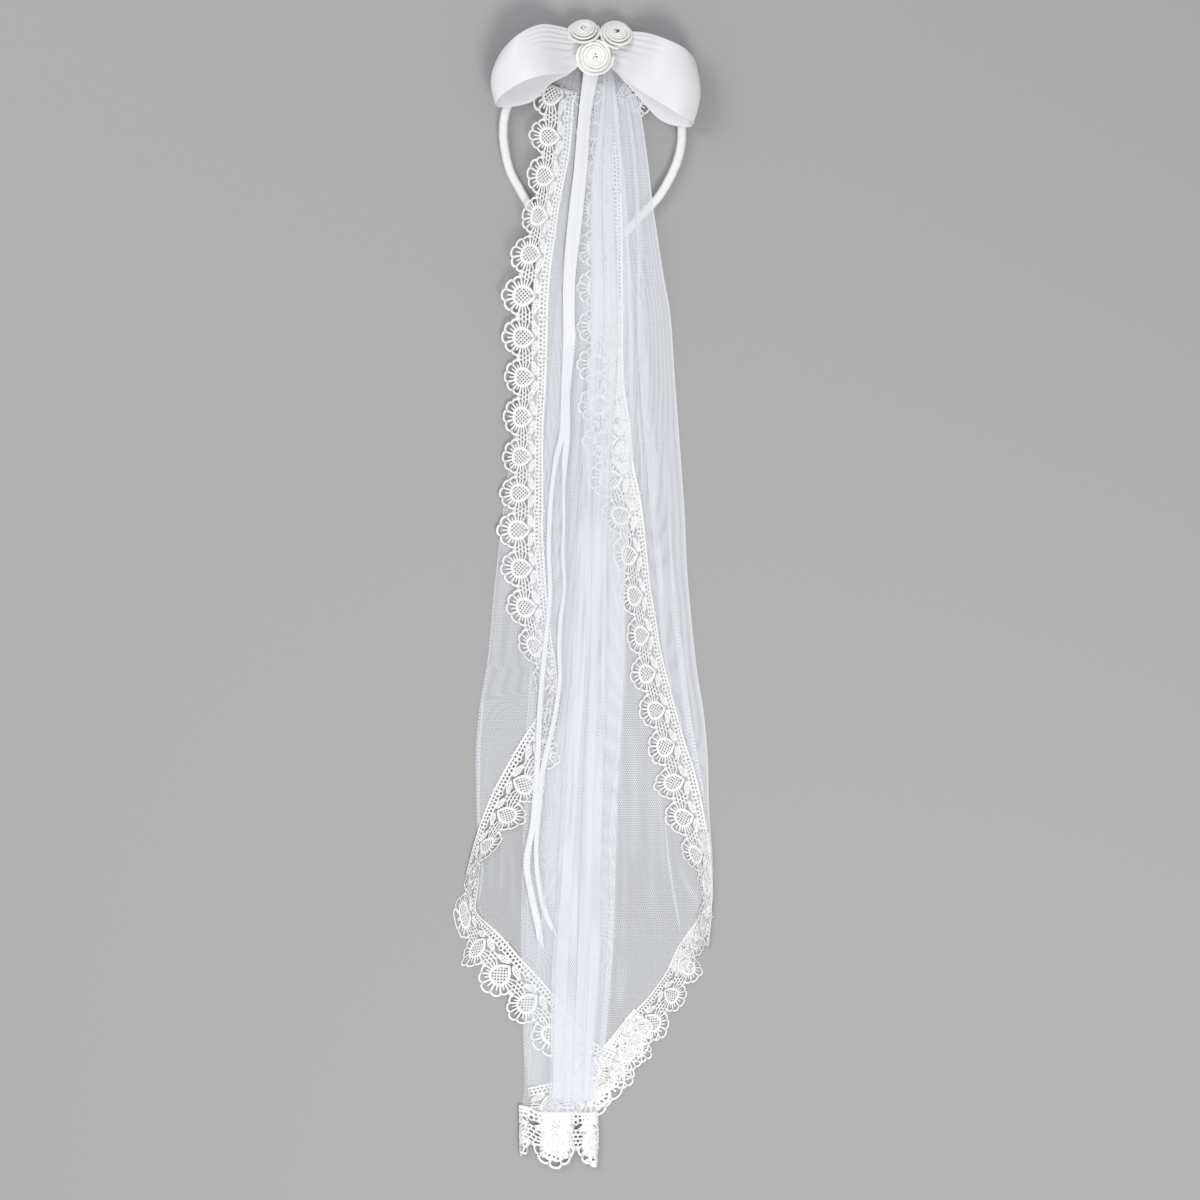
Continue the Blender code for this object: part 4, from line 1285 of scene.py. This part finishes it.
# the headband, wound with satin ribbon
bandLine = [
    (-24, 250), (-32, 264), (-43, 283), (-51, 299), (-55, 322), (-52, 342), (-39, 363), (-16, 380),
    (11, 386), (37, 380), (59, 361), (69, 333), (68, 308), (56, 282), (40, 264), (27, 250),
]
bandWrap = {
    "wide": 6.3, "high": 8.0, "lap": 8.5, "step": 0.22, "rows": 420, "sides": 28, "round": 0.72,
    "inset": 0.12, "ends": (0.35, 2.5),  # share of its thickness left at an end, and how far it tapers
    "girth": 3.4,  # millimetres of satin in one radian round it
}


def headband():
    line = smoothLine(bandLine, bandWrap["rows"])
    run = runOf(line)[:, None]
    turn = circle(bandWrap["sides"])
    laps = (run / bandWrap["lap"] + turn / math.tau) % 1
    raised = bandWrap["step"] * (ease(laps, 0.0, 0.06) - laps * 0.9)
    least, taper = bandWrap["ends"]
    ends = least + (1 - least) * ease(run, 0, taper) * ease(run[-1] - run, 0, taper)
    halfWide, halfHigh = (
        (bandWrap[key] / 2 - bandWrap["inset"] + raised) * ends for key in ("wide", "high"))
    aside = squared(np.cos(turn), bandWrap["round"]) * halfWide
    z = bandWrap["high"] / 2 + squared(np.sin(turn), bandWrap["round"]) * halfHigh
    points = np.dstack([line[:, None] + leftOf(line)[:, None] * aside[..., None], z]).reshape(-1, 3)
    rows, sides = z.shape
    at = np.arange(rows * sides).reshape(rows, sides)
    around = np.roll(at, -1, 1)
    quads = np.stack([at[:-1], around[:-1], around[1:], at[1:]], -1).reshape(-1, 4)
    caps = []
    for ring in (at[0][::-1], at[-1]):
        for step in range(sides // 2 - 1):
            caps.append((ring[step], ring[step + 1], ring[sides - 2 - step], ring[sides - 1 - step]))
    uv = np.dstack([turn * bandWrap["girth"] + 0 * run, run + 0 * turn]).reshape(-1, 2)
    meshPiece("headbandWrap", (points, np.concatenate([quads, caps]), uv), bandSatin, "headband")


headband()
print("headband wound")


# the two streamers
def ribbonArrays(lines, slant, rise):
    # a ribbon that folds to and fro on itself where it shows narrow, with a slanted cut end
    line = smoothLine(lines, ribbonCut["rows"])
    wide = ribbonCut["wide"]
    across = np.linspace(0, 1, ribbonCut["columns"])[None] * wide
    shown = line[:, 2:3]
    turns = across / shown
    aside = shown * (np.abs((turns + 1) % 2 - 1) - 0.5)
    up = ribbonCut["foldRise"] * np.clip(turns - 0.85, 0, 2) * ease(wide - shown, 0.2, 0.9)
    up = up + ribbonCut["belly"] * np.sin(np.clip(turns, 0, 1) * math.pi)
    plan = line[:, None, :2] - leftOf(line)[:, None] * aside[..., None]
    x, y = plan[..., 0], plan[..., 1]
    clear = ease(y, *ribbonCut["under"])
    low = onPleat(x, y) - ribbonCut["sunk"] + ribbonCut["outRise"] * clear
    low = low + rise * clear + 0.2 * waves(y / 22, x / 9, 31)
    grid = np.dstack([plan, low + up])
    share = np.linspace(0, 1, len(line))[:, None]
    grid[..., 1] += ease(share, 0.97, 1.0) * slant * (aside / shown)
    return shellArrays(grid, ribbonCut["thick"], 6)


arrays = joined([ribbonArrays(outerStreamer, 7, 0.45), ribbonArrays(innerStreamer, 9, 0.0)])
streamers = meshPiece("streamerPair", arrays, ribbonSatin, "streamer_outer", "streamer_inner")
print("streamers laid")


# floor, light and camera
studio = {
    "floor": 16.0,
    "view": (0.0126, -0.0044, 9.333),
    "lens": 400, "sensor": 36, "reach": 20,
    "lights": [  # name, place, aim, size, power, colour
        ("keyLight", (0.5, -1.05, 1.85), (0, 0, 0), 0.9, 23.5, (1.0, 0.99, 0.975)),
        ("fillLight", (-1.2, 1.1, 1.5), (0, 0.2, 0), 1.2, 13, (0.95, 0.975, 1.0)),
    ],
    "sky": ((0.97, 0.98, 1.0, 1), 0.6),
}


def makeFloor():
    half = studio["floor"] / 2
    low = -0.15 * mm
    mesh = bpy.data.meshes.new("studioFloor")
    corners = [(-half, -half, low), (half, -half, low), (half, half, low), (-half, half, low)]
    mesh.from_pydata(corners, [], [(0, 1, 2, 3)])
    mesh.materials.append(floorFinish().material)
    linked("studioFloor", mesh)


def softLight(name, place, aim, size, power, colour):
    lamp = bpy.data.lights.new(name, "AREA")
    lamp.shape = "DISK"
    lamp.size = size
    lamp.energy = power
    lamp.color = colour
    held = linked(name, lamp)
    held.location = place
    held.rotation_euler = (Vector(aim) - Vector(place)).to_track_quat("-Z", "Y").to_euler()


def makeStudio():
    scene = bpy.context.scene
    for light in studio["lights"]:
        softLight(*light)
    world = bpy.data.worlds.new("studio")
    world.use_nodes = True
    sky = world.node_tree.nodes["Background"].inputs
    sky["Color"].default_value, sky["Strength"].default_value = studio["sky"]
    scene.world = world
    camera = bpy.data.cameras.new("camera")
    camera.lens, camera.sensor_width, camera.clip_end = (studio[key] for key in ("lens", "sensor", "reach"))
    scene.camera = linked("camera", camera)
    scene.camera.location = studio["view"]
    scene.view_settings.view_transform = "Standard"
    scene.cycles.transparent_max_bounces = 32


makeFloor()
makeStudio()
